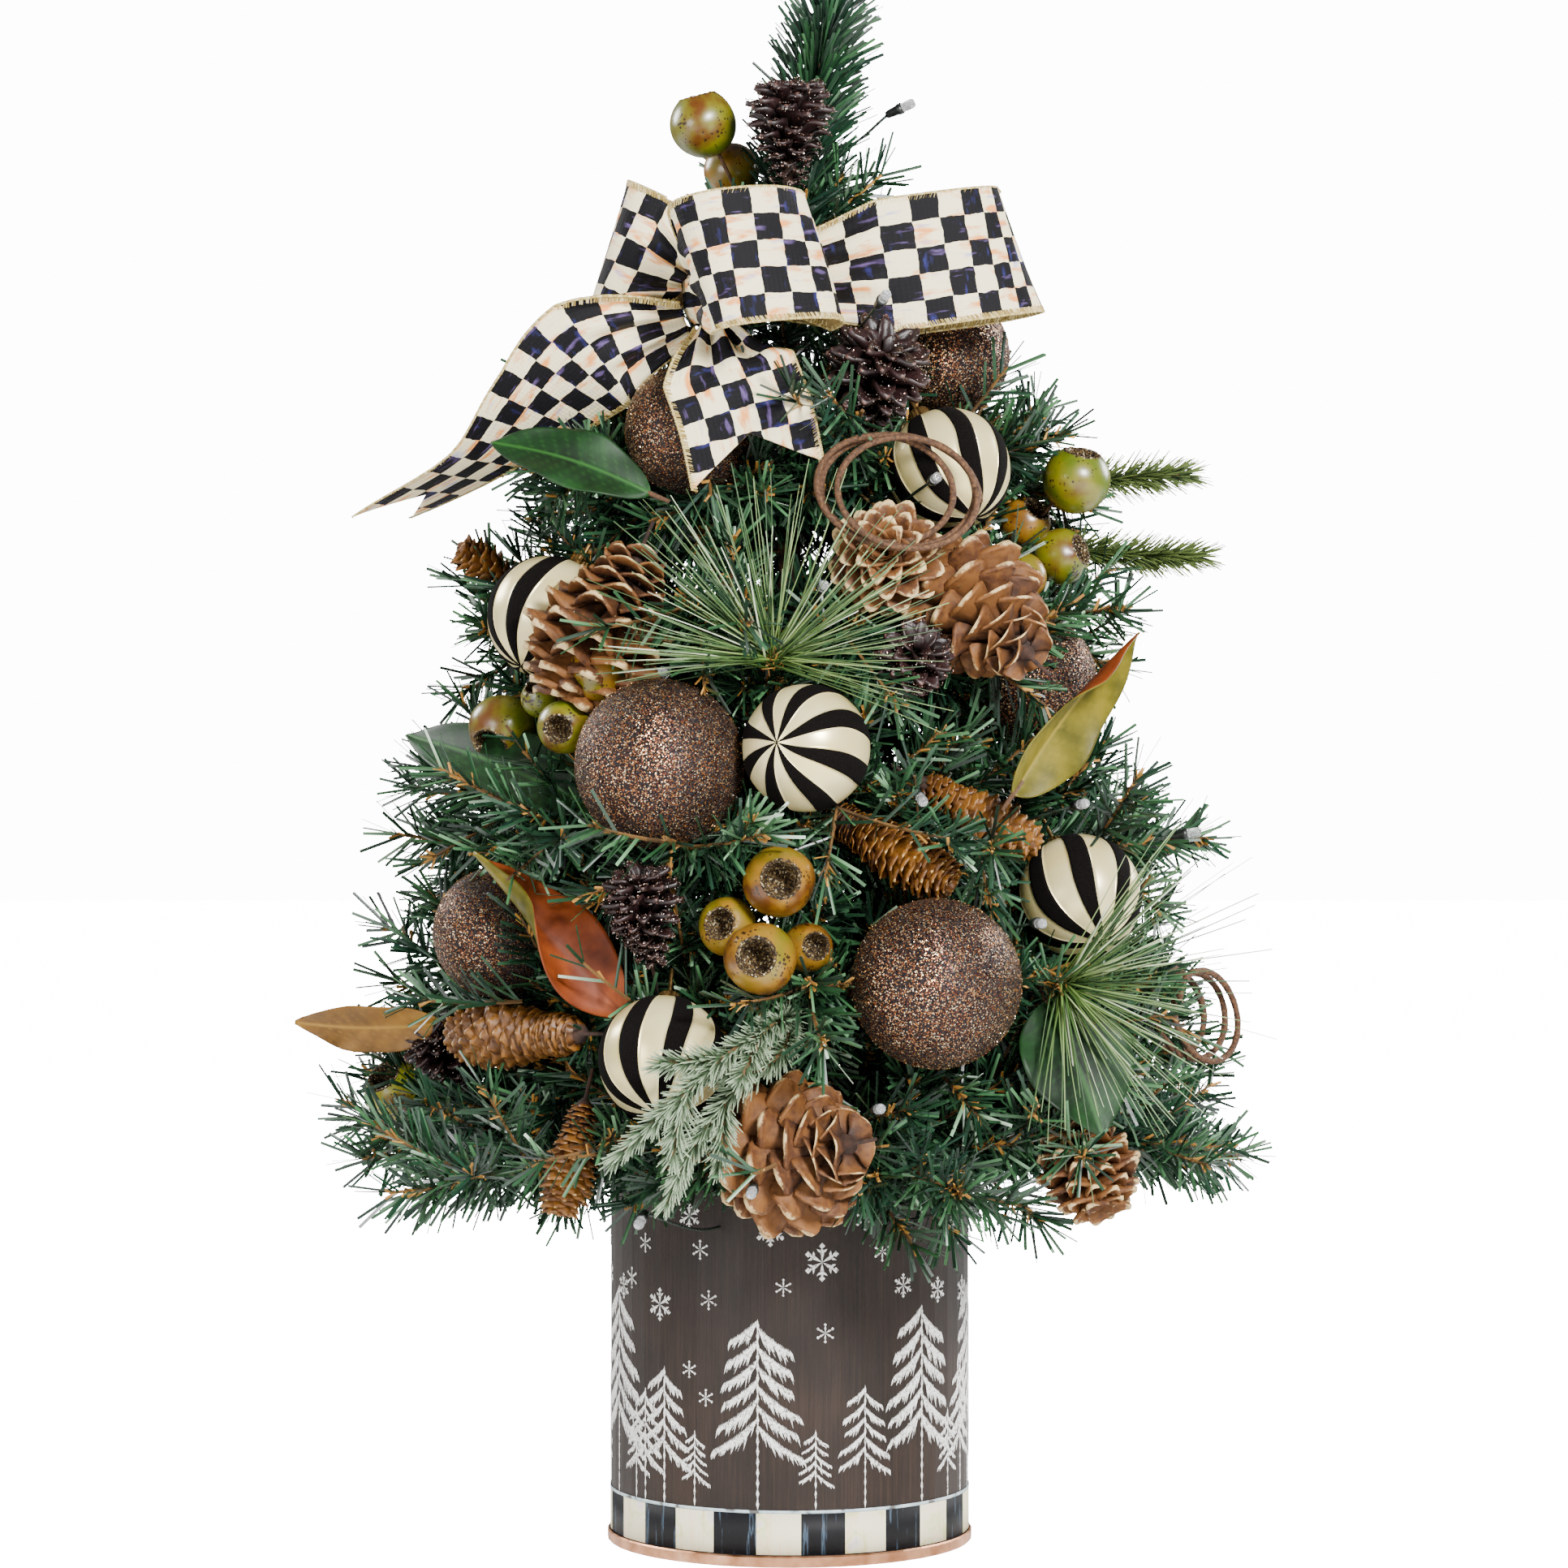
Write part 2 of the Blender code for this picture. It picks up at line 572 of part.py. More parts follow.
def make_cells():
    """Two AA cells side by side, one upside down."""
    nub_radius = CELL_DIAMETER * 0.19
    nub = 0.0012
    radius = CELL_DIAMETER / 2
    half = CELL_LENGTH / 2
    profile = [
        (0.0, half),
        (nub_radius, half),
        (nub_radius, half - nub),
        (radius * 0.93, half - nub),
        (radius, half - nub - radius * 0.07),
        (radius, -half + radius * 0.07),
        (radius * 0.93, -half),
        (0.0, -half),
    ]
    for index, side in enumerate((-1, 1)):
        x = side * (CELL_DIAMETER + CELL_GAP) / 2
        centre = Matrix.Translation((x, CELL_Y, (FLOOR_TOP + CHAMBER_TOP) / 2))
        flip = Matrix.Rotation(math.pi * index, 4, "X")
        turned(f"battery_{index + 1}", profile, 12, "cell", centre @ flip)


def make_light_string():
    """The main wire of the lights: out of the case's side, up to the pole and wound up it."""
    start = Vector((-CASE_WIDTH / 2 - GAP - LIGHT_STRING_RADIUS, CELL_Y, CASE_FOOT + 0.012))
    near = LIGHT_STRING_OFF_POLE + HUB_RADIUS
    first_height = 0.040
    wound = 36
    points = [start, start + Vector((-0.005, -0.004, 0.001)), start + Vector((-0.009, -0.014, 0.006))]
    points.append(Vector((-near * 0.95, near * 0.55, POT_HEIGHT + first_height * 0.55)))
    turn_start = math.radians(172)
    for step in range(wound + 1):
        share = step / wound
        angle = turn_start + 2 * math.pi * LIGHT_STRING_TURNS * share
        height = POT_HEIGHT + first_height + (LIGHT_STRING_TOP - first_height) * share
        reach = near * (1.0 - 0.35 * share)
        points.append(Vector((reach * math.cos(angle), reach * math.sin(angle), height)))
    piece("light_string", curve_data("light_string", points, LIGHT_STRING_RADIUS), "wire")


# ---------------------------------------------------------------- bow

def ribbon(name, centres, widths, gathered, notch=0.0):
    """A strip of ribbon along the centre points; gathered is its width at each, as a share of the flat width."""
    bm = bmesh.new()
    rows = []
    for index, centre in enumerate(centres):
        along = centres[min(index + 1, len(centres) - 1)] - centres[max(index - 1, 0)]
        across = widths[index] - widths[index].project(along)
        across.normalize()
        half = RIBBON_WIDTH / 2 * gathered[index]
        offsets = (-half, 0.0, half)
        rows.append([bm.verts.new(centre + across * offset) for offset in offsets])
    for before, after in zip(rows, rows[1:]):
        for side in range(2):
            bm.faces.new((before[side], before[side + 1], after[side + 1], after[side]))
    if notch:
        back = (centres[-2] - centres[-1]).normalized()
        rows[-1][1].co += back * notch
    made = piece(name, mesh_from(bm, name), "ribbon")
    solid = made.modifiers.new("thickness", "SOLIDIFY")
    solid.thickness = RIBBON_THICKNESS
    solid.offset = 0.0
    return made


def make_bow():
    """Three loops and two tails around a knot."""
    knot = above_rim(KNOT)
    samples = 16
    for name, (outward, bulge, width, length, half_bulge) in BOW_LOOPS.items():
        outward = Vector(outward).normalized()
        bulge = Vector(bulge)
        bulge = (bulge - bulge.project(outward)).normalized()
        centres = []
        start = KNOT_SIZE.y * 1.28 / (math.pi * length)
        for step in range(samples + 1):
            t = start + (1 - 2 * start) * step / samples
            reach = outward * length * math.sin(math.pi * t)
            centres.append(knot + reach + bulge * half_bulge * math.sin(2 * math.pi * t))
        gathered = [min(1.0, 0.35 + 4.0 * min(step, samples - step) / samples) for step in range(samples + 1)]
        ribbon(name, centres, [Vector(width)] * (samples + 1), gathered)
    bm = bmesh.new()
    shape = Matrix.Diagonal((*KNOT_SIZE, 1.0))
    bmesh.ops.create_uvsphere(bm, u_segments=12, v_segments=7, radius=1.0, matrix=shape)
    made = piece("bow_knot", mesh_from(bm, "bow_knot"), "ribbon")
    made.location = knot
    for name, route in BOW_TAILS.items():
        per_span = 4
        centres = smooth_route([above_rim(point) for point, _ in route], per_span)
        widths = smooth_route([width for _, width in route], per_span)
        gathered = [min(1.0, 0.30 + 0.16 * step) for step in range(len(centres))]
        ribbon(name, centres, widths, gathered, notch=TAIL_NOTCH)


# ---------------------------------------------------------------- ornaments

def ball(name, centre, radius, stem, finish):
    """A ball with its cap and wire stem, turned in one."""
    cap_angle = math.degrees(math.asin(CAP_RADIUS / radius))
    cap_foot = radius * math.cos(math.radians(cap_angle))
    profile = [
        (0.0, cap_foot + CAP_HEIGHT + STEM_LENGTH),
        (WIRE_RADIUS, cap_foot + CAP_HEIGHT + STEM_LENGTH),
        (WIRE_RADIUS, cap_foot + CAP_HEIGHT),
        (CAP_RADIUS, cap_foot + CAP_HEIGHT),
        *arc(0.0, radius, cap_angle, 180.0, 8),
    ]
    place = Matrix.Translation(above_rim(centre)) @ facing(stem)
    turned(name, profile, BALL_STEPS, finish, place)


def cone(name, centre, radius, length, tip, finish, rows, fullness, step_in):
    """A pine cone: rows of scales as a zig-zag profile, tip first, then a wire stem."""
    profile = [(0.0, length / 2)]
    for row in range(rows):
        share = (row + 0.75) / rows
        outline = radius * math.sin(math.pi * min(share, 0.97) ** fullness) ** 0.7
        height = length * (0.5 - (row + 0.35) / rows)
        profile.append((outline, height))
        profile.append((outline * step_in, height - length * 0.35 / rows))
    foot = -length / 2
    profile += [(WIRE_RADIUS * 2, foot), (WIRE_RADIUS, foot - STEM_LENGTH), (0.0, foot - STEM_LENGTH)]
    place = Matrix.Translation(above_rim(centre)) @ facing(tip)
    turned(name, profile, CONE_STEPS, finish, place)


def make_balls_and_cones():
    """Every ball and cone of the tree."""
    for index, (centre, radius, stem) in enumerate(GLITTER_BALLS, 1):
        ball(f"glitter_ball_{index}", centre, radius, stem, "glitter")
    for index, (centre, radius, stem) in enumerate(STRIPED_BALLS, 1):
        ball(f"striped_ball_{index}", centre, radius, stem, "striped")
    for index, (centre, radius, length, tip) in enumerate(OPEN_CONES, 1):
        cone(f"open_cone_{index}", centre, radius, length, tip, "cone", 5, 0.75, 0.62)
    for index, (centre, radius, length, tip) in enumerate(SPRUCE_CONES, 1):
        cone(f"spruce_cone_{index}", centre, radius, length, tip, "cone", 7, 0.85, 0.80)
    for index, (centre, radius, length, tip) in enumerate(FROSTED_CONES, 1):
        cone(f"frosted_cone_{index}", centre, radius, length, tip, "frosted_cone", 5, 0.75, 0.70)


def pod_profile(radius):
    """A round pod with a crater in its top."""
    mouth = 34.0
    rim = (radius * math.sin(math.radians(mouth)), radius * math.cos(math.radians(mouth)))
    return [(0.0, rim[1] * 0.45), (rim[0] * 0.75, rim[1] * 0.62), *arc(0.0, radius, mouth, 180.0, 6)]


def make_pods():
    """Clusters of pods on wires from one junction."""
    for index, (junction, pods) in enumerate(POD_PICKS, 1):
        hub = above_rim(junction)
        meshes = [tube_mesh([hub, hub - Vector((0.0, 0.0, 0.012))], [WIRE_RADIUS * 1.8] * 2)]
        for centre, radius, crater in pods:
            place = Matrix.Translation(above_rim(centre)) @ facing(crater)
            meshes.append(tube_mesh([hub, above_rim(centre)], [WIRE_RADIUS] * 2))
            meshes.append(turned_mesh(pod_profile(radius), POD_STEPS, place))
        joined(f"pod_pick_{index}", meshes, "pod")


def leaf(name, base, tip, face, width, sag, fold, twist):
    """A long oval leaf with a sag along it, a fold down its rib and a twist towards the tip."""
    base = above_rim(base)
    tip = above_rim(tip)
    along = (tip - base).normalized()
    face = Vector(face)
    face = (face - face.project(along)).normalized()
    rows = 9
    bm = bmesh.new()
    grid = []
    for row in range(rows + 1):
        share = row / rows
        half = width / 2 * max(math.sin(math.pi * share**0.85) ** 0.75, 0.06)
        turn = Matrix.Rotation(math.radians(twist) * share, 3, along)
        up = turn @ face
        side = along.cross(up)
        middle = base.lerp(tip, share) + face * sag * math.sin(math.pi * share)
        line = []
        for offset in (-1.0, -0.5, 0.0, 0.5, 1.0):
            line.append(bm.verts.new(middle + side * half * offset + up * half * fold * abs(offset)))
        grid.append(line)
    for before, after in zip(grid, grid[1:]):
        for column in range(4):
            bm.faces.new((before[column], before[column + 1], after[column + 1], after[column]))
    made = piece(name, mesh_from(bm, name), "leaf")
    solid = made.modifiers.new("thickness", "SOLIDIFY")
    solid.thickness = LEAF_THICKNESS
    solid.offset = 0.0


def make_greenery():
    """Leaves, long-needle sprays, spruce sprigs and vine coils."""
    for index, values in enumerate(LEAVES, 1):
        leaf(f"magnolia_leaf_{index}", *values)
    for index, (hub, lean, angles, length) in enumerate(NEEDLE_SPRAYS, 1):
        hub = above_rim(hub)
        inward = hub + Vector((0.0, 0.016, 0.0))
        meshes = [tube_mesh([inward, hub + Vector((0.0, -0.003, 0.0))], [0.0030, 0.0036])]
        for angle in angles:
            out = Vector((math.cos(math.radians(angle)), -lean, math.sin(math.radians(angle)))).normalized()
            meshes.append(tube_mesh([hub, hub + out * length], [0.0022, 0.0008], 0))
        joined(f"needle_spray_{index}", meshes, "needle")
    for index, stems in enumerate(SPRUCE_PICKS, 1):
        meshes = []
        for stem in stems:
            radii = SPRIG_RADII[: len(stem) - 1] + SPRIG_RADII[-1:]
            meshes.append(tube_mesh([above_rim(point) for point in stem], radii))
        joined(f"spruce_pick_{index}", meshes, "needle")
    for index, (middle, axis, radius, turns, pitch) in enumerate(VINES, 1):
        turn = facing(axis)
        count = round(turns * 13)
        points = []
        for step in range(count + 1):
            angle = 2 * math.pi * turns * step / count
            reach = radius * (1.0 + 0.10 * math.sin(angle * 0.55))
            along = pitch * turns * (step / count - 0.5)
            local = Vector((reach * math.cos(angle), reach * 0.86 * math.sin(angle), along))
            points.append(above_rim(middle) + turn @ local)
        piece(f"vine_{index}", curve_data(f"vine_{index}", points, VINE_RADIUS), "vine")


# ---------------------------------------------------------------- branches

def solid_tree(made):
    """A search tree of the piece's surface in world coordinates."""
    bpy.context.view_layer.update()
    graph = bpy.context.evaluated_depsgraph_get()
    bm = bmesh.new()
    evaluated = made.evaluated_get(graph)
    bm.from_mesh(evaluated.to_mesh())
    evaluated.to_mesh_clear()
    bm.transform(made.matrix_world)
    found = BVHTree.FromBMesh(bm)
    bm.free()
    return found


def along_route(route, share):
    """The point at this share of the route, from straight runs between its points."""
    position = share * (len(route) - 1)
    index = min(int(position), len(route) - 2)
    return route[index].lerp(route[index + 1], position - index)


def branch_radius(share):
    """The radius of a branch with its needles, at this share of its full length."""
    return BRANCH_ROOT + (BRANCH_FULL - BRANCH_ROOT) * min(share * 1.6, 1.0)


def clear_share(route, obstacles):
    """How much of the route, from its root, a branch can take without touching an obstacle."""
    samples = 40
    clear = 0.0
    for step in range(3, samples + 1):
        share = step / samples
        point = along_route(route, share)
        radius = branch_radius(share)
        for obstacle in obstacles:
            near = obstacle.find_nearest(point, radius + BRANCH_CLEARANCE + 0.004)
            if near[0] is not None and near[3] < radius + BRANCH_CLEARANCE:
                return clear
        clear = share
    return clear


def branch_route(root_height, tip_height, reach, angle, lift):
    """The middle line of a branch: out from the pole, a little sag, and a raised tip."""
    out = Vector((math.cos(angle), math.sin(angle), 0.0))
    start = above_rim((0.0, 0.0, root_height)) + out * (HUB_RADIUS - HUB_WALL / 2)
    points = []
    spans = 6
    for step in range(spans + 1):
        share = step / spans
        height = (tip_height - root_height + lift) * share - 0.010 * math.sin(math.pi * share)
        points.append(start + out * (reach - HUB_RADIUS) * share + UP_Z * height)
    return points


def make_tier(index, tier, obstacles):
    """One tier: a sleeve on the pole with branches that stop short of everything hung on them."""
    root, tip, reach, count, first = tier
    sleeve = turned_mesh([
        (0.0, POT_HEIGHT + root + HUB_HEIGHT / 2),
        (HUB_RADIUS, POT_HEIGHT + root + HUB_HEIGHT / 2),
        (HUB_RADIUS, POT_HEIGHT + root - HUB_HEIGHT / 2),
        (0.0, POT_HEIGHT + root - HUB_HEIGHT / 2),
    ], 16, Matrix.Identity(4))
    meshes = [sleeve]
    for number in range(count):
        angle = math.radians(first + 360 * number / count)
        lift = (-0.012, 0.010, 0.0)[number % 3]
        length = reach * (1.0, 0.93, 0.97)[number % 3]
        route = branch_route(root, tip, length, angle, lift)
        share = clear_share(route, obstacles)
        if share * length < BRANCH_SHORTEST:
            continue
        spans = 4
        points = [along_route(route, share * step / spans) for step in range(spans + 1)]
        radii = [branch_radius(share * step / spans) for step in range(spans + 1)]
        radii[-1] *= 0.45
        meshes.append(tube_mesh(points, radii))
    bore = turned_mesh([
        (0.0, POT_HEIGHT + root + HUB_HEIGHT),
        (BORE_RADIUS, POT_HEIGHT + root + HUB_HEIGHT),
        (BORE_RADIUS, POT_HEIGHT + root - HUB_HEIGHT),
        (0.0, POT_HEIGHT + root - HUB_HEIGHT),
    ], 16, Matrix.Identity(4))
    made = joined(f"branch_tier_{index}", meshes, "foliage", cut=[bore])
    return solid_tree(made)


def make_branches():
    """All tiers, each clear of what hangs on the tree, of the lid's way up and of the other tiers."""
    lid_way = cutter("lid_way", box(
        "lid_way",
        (-CASE_WIDTH / 2, CASE_IN, CASE_FOOT),
        (CASE_WIDTH / 2, CASE_OUT, CASE_TOP + LID_TRAVEL + 0.004),
    ))
    skipped = ("pot_base", "plaster_weight", "foam_plug", "trunk_pole")
    hung = [made for made in tree.objects if made.name not in skipped]
    obstacles = [solid_tree(made) for made in [*hung, lid_way]]
    for index, tier in enumerate(TIERS, 1):
        obstacles.append(make_tier(index, tier, obstacles))


make_pot()
make_filling()
make_pole()
make_case()
make_lid()
make_switch()
make_cells()
make_light_string()
make_bow()
make_balls_and_cones()
make_pods()
make_greenery()
make_branches()
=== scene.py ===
"""The looks of a tabletop Christmas tree in a painted tin pot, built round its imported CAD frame."""

import math
import random

import bmesh
import bpy
import numpy as np
from mathutils import Matrix, Vector, noise
from mathutils.bvhtree import BVHTree


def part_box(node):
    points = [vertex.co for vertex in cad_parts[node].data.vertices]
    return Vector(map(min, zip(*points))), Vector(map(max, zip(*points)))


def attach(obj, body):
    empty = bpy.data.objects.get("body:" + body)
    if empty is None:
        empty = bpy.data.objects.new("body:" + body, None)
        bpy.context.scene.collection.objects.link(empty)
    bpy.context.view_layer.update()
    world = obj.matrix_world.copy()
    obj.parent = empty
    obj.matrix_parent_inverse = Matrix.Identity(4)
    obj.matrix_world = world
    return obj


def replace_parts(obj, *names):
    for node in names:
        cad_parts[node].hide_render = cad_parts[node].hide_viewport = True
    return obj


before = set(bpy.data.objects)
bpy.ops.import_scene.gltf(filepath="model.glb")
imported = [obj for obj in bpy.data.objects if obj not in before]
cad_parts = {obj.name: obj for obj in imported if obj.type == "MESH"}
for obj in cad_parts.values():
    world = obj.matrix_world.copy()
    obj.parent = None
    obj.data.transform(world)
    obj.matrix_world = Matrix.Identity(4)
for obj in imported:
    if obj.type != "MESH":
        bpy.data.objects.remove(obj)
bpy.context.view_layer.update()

# ---- camera
# A studio camera with a long lens, level with the middle of the tree and square on to its front.

camera = bpy.data.objects.new("camera", bpy.data.cameras.new("camera"))
bpy.context.scene.collection.objects.link(camera)
camera.location = (-0.0028, -2.2, 0.375)
camera.rotation_euler = (math.radians(90), 0, 0)
camera.data.sensor_width = 36.0
camera.data.lens = 101.3
bpy.context.scene.camera = camera

# ---- pot wall
# A rolled tin cylinder, brushed over in dark brown enamel that shows faint upright brush marks.
# The tin is the CAD's own; this section gives it its paint.

POT_LOW, POT_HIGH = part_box("pot_wall")
LIP_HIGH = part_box("pot_base")[1]
POT_RADIUS = POT_HIGH.x - 0.0012
RIM = POT_HIGH.z


def linear(hex_colour):
    """The linear RGBA of an sRGB hex colour."""
    channels = [int(hex_colour[place:place + 2], 16) / 255 for place in (0, 2, 4)]
    return (*[c / 12.92 if c <= 0.04045 else ((c + 0.055) / 1.055) ** 2.4 for c in channels], 1.0)


def finish(name, **values):
    """A new Principled material with these values on its own sockets; gives the material and its shader."""
    made = bpy.data.materials.new(name)
    made.use_nodes = True
    shader = made.node_tree.nodes["Principled BSDF"]
    for key, value in values.items():
        shader.inputs[key.replace("_", " ")].default_value = value
    return made, shader


# Which output of a node carries its result, where that isn't the first.
RESULT = {"TexCoord": 3, "Attribute": 2, "Mix": 2, "TexWave": 1, "TexChecker": 1}


def link(made, source, socket):
    """Links a node's result, or one of its outputs, to the socket."""
    if isinstance(source, bpy.types.Node):
        source = source.outputs[RESULT.get(source.bl_idname[len("ShaderNode"):], 0)]
    made.node_tree.links.new(source, socket)


def add(made, kind, inputs=None, stops=(), **settings):
    """Adds a node to the material, with its settings, its values or links, and a ramp's colours."""
    node = made.node_tree.nodes.new("ShaderNode" + kind)
    if kind == "Mix":
        node.data_type = "RGBA"
    for key, value in settings.items():
        setattr(node, key, value)
    for key, value in (inputs or {}).items():
        if isinstance(value, (bpy.types.Node, bpy.types.NodeSocket)):
            link(made, value, node.inputs[key])
        else:
            node.inputs[key].default_value = linear(value) if isinstance(value, str) else value
    if stops:
        ramp = node.color_ramp.elements
        while len(ramp) < len(stops):
            ramp.new(1.0)
        for element, (place, colour) in zip(ramp, stops):
            element.position = place
            element.color = linear(colour)
    return node


def feed(made, shader, **sockets):
    """Links the nodes to the shader's named inputs."""
    for key, source in sockets.items():
        link(made, source, shader.inputs[key.replace("_", " ")])


def mottled(name, per_metre, detail, shades, relief=None, grain=None, **values):
    """A finish whose tone wanders through the shades, in so many patches to the metre.
    relief is the strength and depth in metres of a bump, which follows the patches, or a grain of its own."""
    made, shader = finish(name, **values)
    place = add(made, "TexCoord")
    patches = add(made, "TexNoise", {"Vector": place, "Scale": per_metre, "Detail": detail})
    feed(made, shader, Base_Color=add(made, "ValToRGB", {"Fac": patches}, stops=shades))
    if grain:
        patches = add(made, "TexNoise", {"Vector": place, "Scale": grain[0], "Detail": grain[1]})
    if relief:
        bump = add(made, "Bump", {"Height": patches, "Strength": relief[0], "Distance": relief[1]})
        feed(made, shader, Normal=bump)
    return made


def toned(name, shades, **values):
    """A finish that takes one of the shades for each small piece, from the piece's own tone."""
    made, shader = finish(name, **values)
    own = add(made, "Attribute", attribute_name="tone")
    feed(made, shader, Base_Color=add(made, "ValToRGB", {"Fac": own}, stops=shades))
    return made


def dress(node_name, *materials):
    """Gives a carried-over CAD node its finished material."""
    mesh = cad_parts[node_name].data
    mesh.materials.clear()
    for made in materials:
        mesh.materials.append(made)


# Enamel over tin, put on with a wide brush: upright streaks a few millimetres apart, a soft gloss.
tin_paint, shader = finish("brushed_enamel", Roughness=0.5, Specular_IOR_Level=0.3)
place = add(tin_paint, "TexCoord")
streaks = add(tin_paint, "Mapping", {"Vector": place, "Scale": (900.0, 900.0, 26.0)})
brush = add(tin_paint, "TexNoise", {"Vector": streaks, "Scale": 1.0, "Detail": 5.0})
cloud = add(tin_paint, "TexNoise", {"Vector": place, "Scale": 22.0, "Detail": 3.0})
both = add(tin_paint, "Math", {0: brush, 1: cloud}, operation="ADD")
shade = add(tin_paint, "MapRange", {"Value": both, "From Min": 0.7, "From Max": 1.3})
paint = add(tin_paint, "ValToRGB", {"Fac": shade}, stops=[(0.0, "1A120D"), (0.5, "241913"), (1.0, "30231B")])
ridges = add(tin_paint, "Bump", {"Height": brush, "Strength": 0.35, "Distance": 0.0003})
feed(tin_paint, shader, Base_Color=paint, Normal=ridges)
dress("pot_wall", tin_paint)

# Copper-washed steel: the rolled lip under the wall, bright where it is rubbed.
copper, shader = finish("copper_wash", Metallic=1.0, Roughness=0.36)
place = add(copper, "TexCoord")
rub = add(copper, "TexNoise", {"Vector": place, "Scale": 90.0, "Detail": 6.0})
tone = add(copper, "ValToRGB", {"Fac": rub}, stops=[(0.3, "A8714F"), (0.6, "D9A07A"), (0.8, "E8C3A2")])
grain = add(copper, "MapRange", {"Value": rub, "To Min": 0.28, "To Max": 0.5})
feed(copper, shader, Base_Color=tone, Roughness=grain)
dress("pot_base", copper)

# ---- painted border
# A hand-painted border round the foot of the pot: black and cream blocks with loose strokes of colour,
# edged with a thin pale blue line. It is a coat of enamel, modelled as a thin sleeve on the tin.

BORDER_LOW = LIP_HIGH.z + 0.0004
BORDER_HIGH = 0.0262
BORDER_BLOCKS = 26
PAINT_COAT = 0.0002


def mesh_of(bm, name, *materials, smooth=False):
    """The bmesh made into a mesh with these materials."""
    mesh = bpy.data.meshes.new(name)
    bm.to_mesh(mesh)
    bm.free()
    for made in materials:
        mesh.materials.append(made)
    if smooth:
        mesh.shade_smooth()
    return mesh


def fixed(name, mesh, body="tree"):
    """The mesh set out as a piece that rides on the body."""
    made = bpy.data.objects.new(name, mesh)
    bpy.context.scene.collection.objects.link(made)
    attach(made, body)
    return made


def keep(bm, name, *materials, smooth=False):
    """Turns the bmesh into a piece of the tree."""
    return fixed(name, mesh_of(bm, name, *materials, smooth=smooth))


def block_paint(name, ground, second):
    """One block's enamel: a ground colour under upright strokes of other colours."""
    made, shader = finish(name, Roughness=0.6, Specular_IOR_Level=0.25)
    place = add(made, "TexCoord")
    strokes = add(made, "Mapping", {"Vector": place, "Scale": (420.0, 420.0, 28.0)})
    stroke = add(made, "TexNoise", {"Vector": strokes, "Scale": 1.0, "Detail": 4.0})
    patch = add(made, "TexNoise", {"Vector": place, "Scale": 60.0, "Detail": 2.0})
    under = add(made, "ValToRGB", {"Fac": stroke}, stops=ground)
    over = add(made, "ValToRGB", {"Fac": patch}, stops=second)
    mixed = add(made, "Mix", {0: stroke, 6: under, 7: over})
    ridge = add(made, "Bump", {"Height": stroke, "Strength": 0.3, "Distance": 0.0003})
    feed(made, shader, Base_Color=mixed, Normal=ridge)
    return made


def spun(outline, steps, closed=False):
    """A bmesh turned round the upright axis from an outline of radii and heights."""
    bm = bmesh.new()
    chain = [bm.verts.new((reach, 0.0, height)) for reach, height in outline]
    line = [bm.edges.new(pair) for pair in zip(chain, chain[1:] + chain[:closed])]
    bmesh.ops.spin(bm, geom=chain + line, axis=(0, 0, 1), cent=(0, 0, 0), angle=2 * math.pi, steps=steps,
        use_merge=True)
    bmesh.ops.remove_doubles(bm, verts=bm.verts, dist=1e-6)
    bmesh.ops.recalc_face_normals(bm, faces=bm.faces)
    return bm


def sleeve(low, high, thickness, segments):
    """A closed thin sleeve round the wall between two heights."""
    inner = POT_RADIUS + 0.00005
    outer = inner + thickness
    return spun([(inner, low), (outer, low), (outer, high), (inner, high)], segments, closed=True)


border_dark = block_paint("border_black_enamel", [(0.0, "060607"), (0.6, "0B0B0E"), (0.65, "6E88A0"),
    (0.69, "0C0C10")], [(0.0, "050506"), (1.0, "0D0D14")])
border_cream = block_paint("border_cream_enamel", [(0.0, "F2E9C8"), (0.52, "F0E6C4"), (0.6, "EFC690"),
    (0.67, "F2E8C8")], [(0.3, "F4ECCE"), (0.5, "F2EAC8"), (0.56, "C9D98A"), (0.62, "E9E6C8"),
    (0.7, "C8BCE0")])
bm = sleeve(BORDER_LOW, BORDER_HIGH, PAINT_COAT, BORDER_BLOCKS * 8)
for face in bm.faces:
    middle = face.calc_center_median()
    turn = math.atan2(middle.y, middle.x) / (2 * math.pi) * BORDER_BLOCKS
    face.material_index = int(math.floor(turn + 0.25)) % 2
keep(bm, "pot_border", border_dark, border_cream, smooth=True)

blue_line = mottled("border_blue_enamel", 150.0, 4.0, [(0.38, "5B5A58"), (0.46, "A9BFC6"), (0.7, "D3DEDD")],
    Roughness=0.4)
bm = sleeve(BORDER_HIGH - 0.0004, BORDER_HIGH + 0.0011, PAINT_COAT * 1.6, 160)
keep(bm, "pot_border_line", blue_line, smooth=True)

# ---- painted wood and snow
# White fir trees and snowflakes dabbed on the tin with a stiff brush, thick enough to stand proud.
# Every dab is a small flat stroke laid on the curve of the wall.

DAB = 0.00022  # how far the white paint stands off the tin


def dab_mesh(sides):
    """A flat lens of paint one unit long in X and one wide in Z, its thickness along -Y."""
    bm = bmesh.new()
    bmesh.ops.create_cone(bm, cap_ends=True, segments=sides, radius1=0.5, radius2=0.36, depth=1.0)
    bmesh.ops.rotate(bm, verts=bm.verts, matrix=Matrix.Rotation(math.radians(90), 3, "X"))
    bmesh.ops.translate(bm, verts=bm.verts, vec=(0.0, -0.5, 0.0))
    return mesh_of(bm, "dab")


def stamp(bm, template, matrix):
    """Adds one copy of the template mesh to the bmesh."""
    copy = template.copy()
    copy.transform(matrix)
    bm.from_mesh(copy)
    bpy.data.meshes.remove(copy)


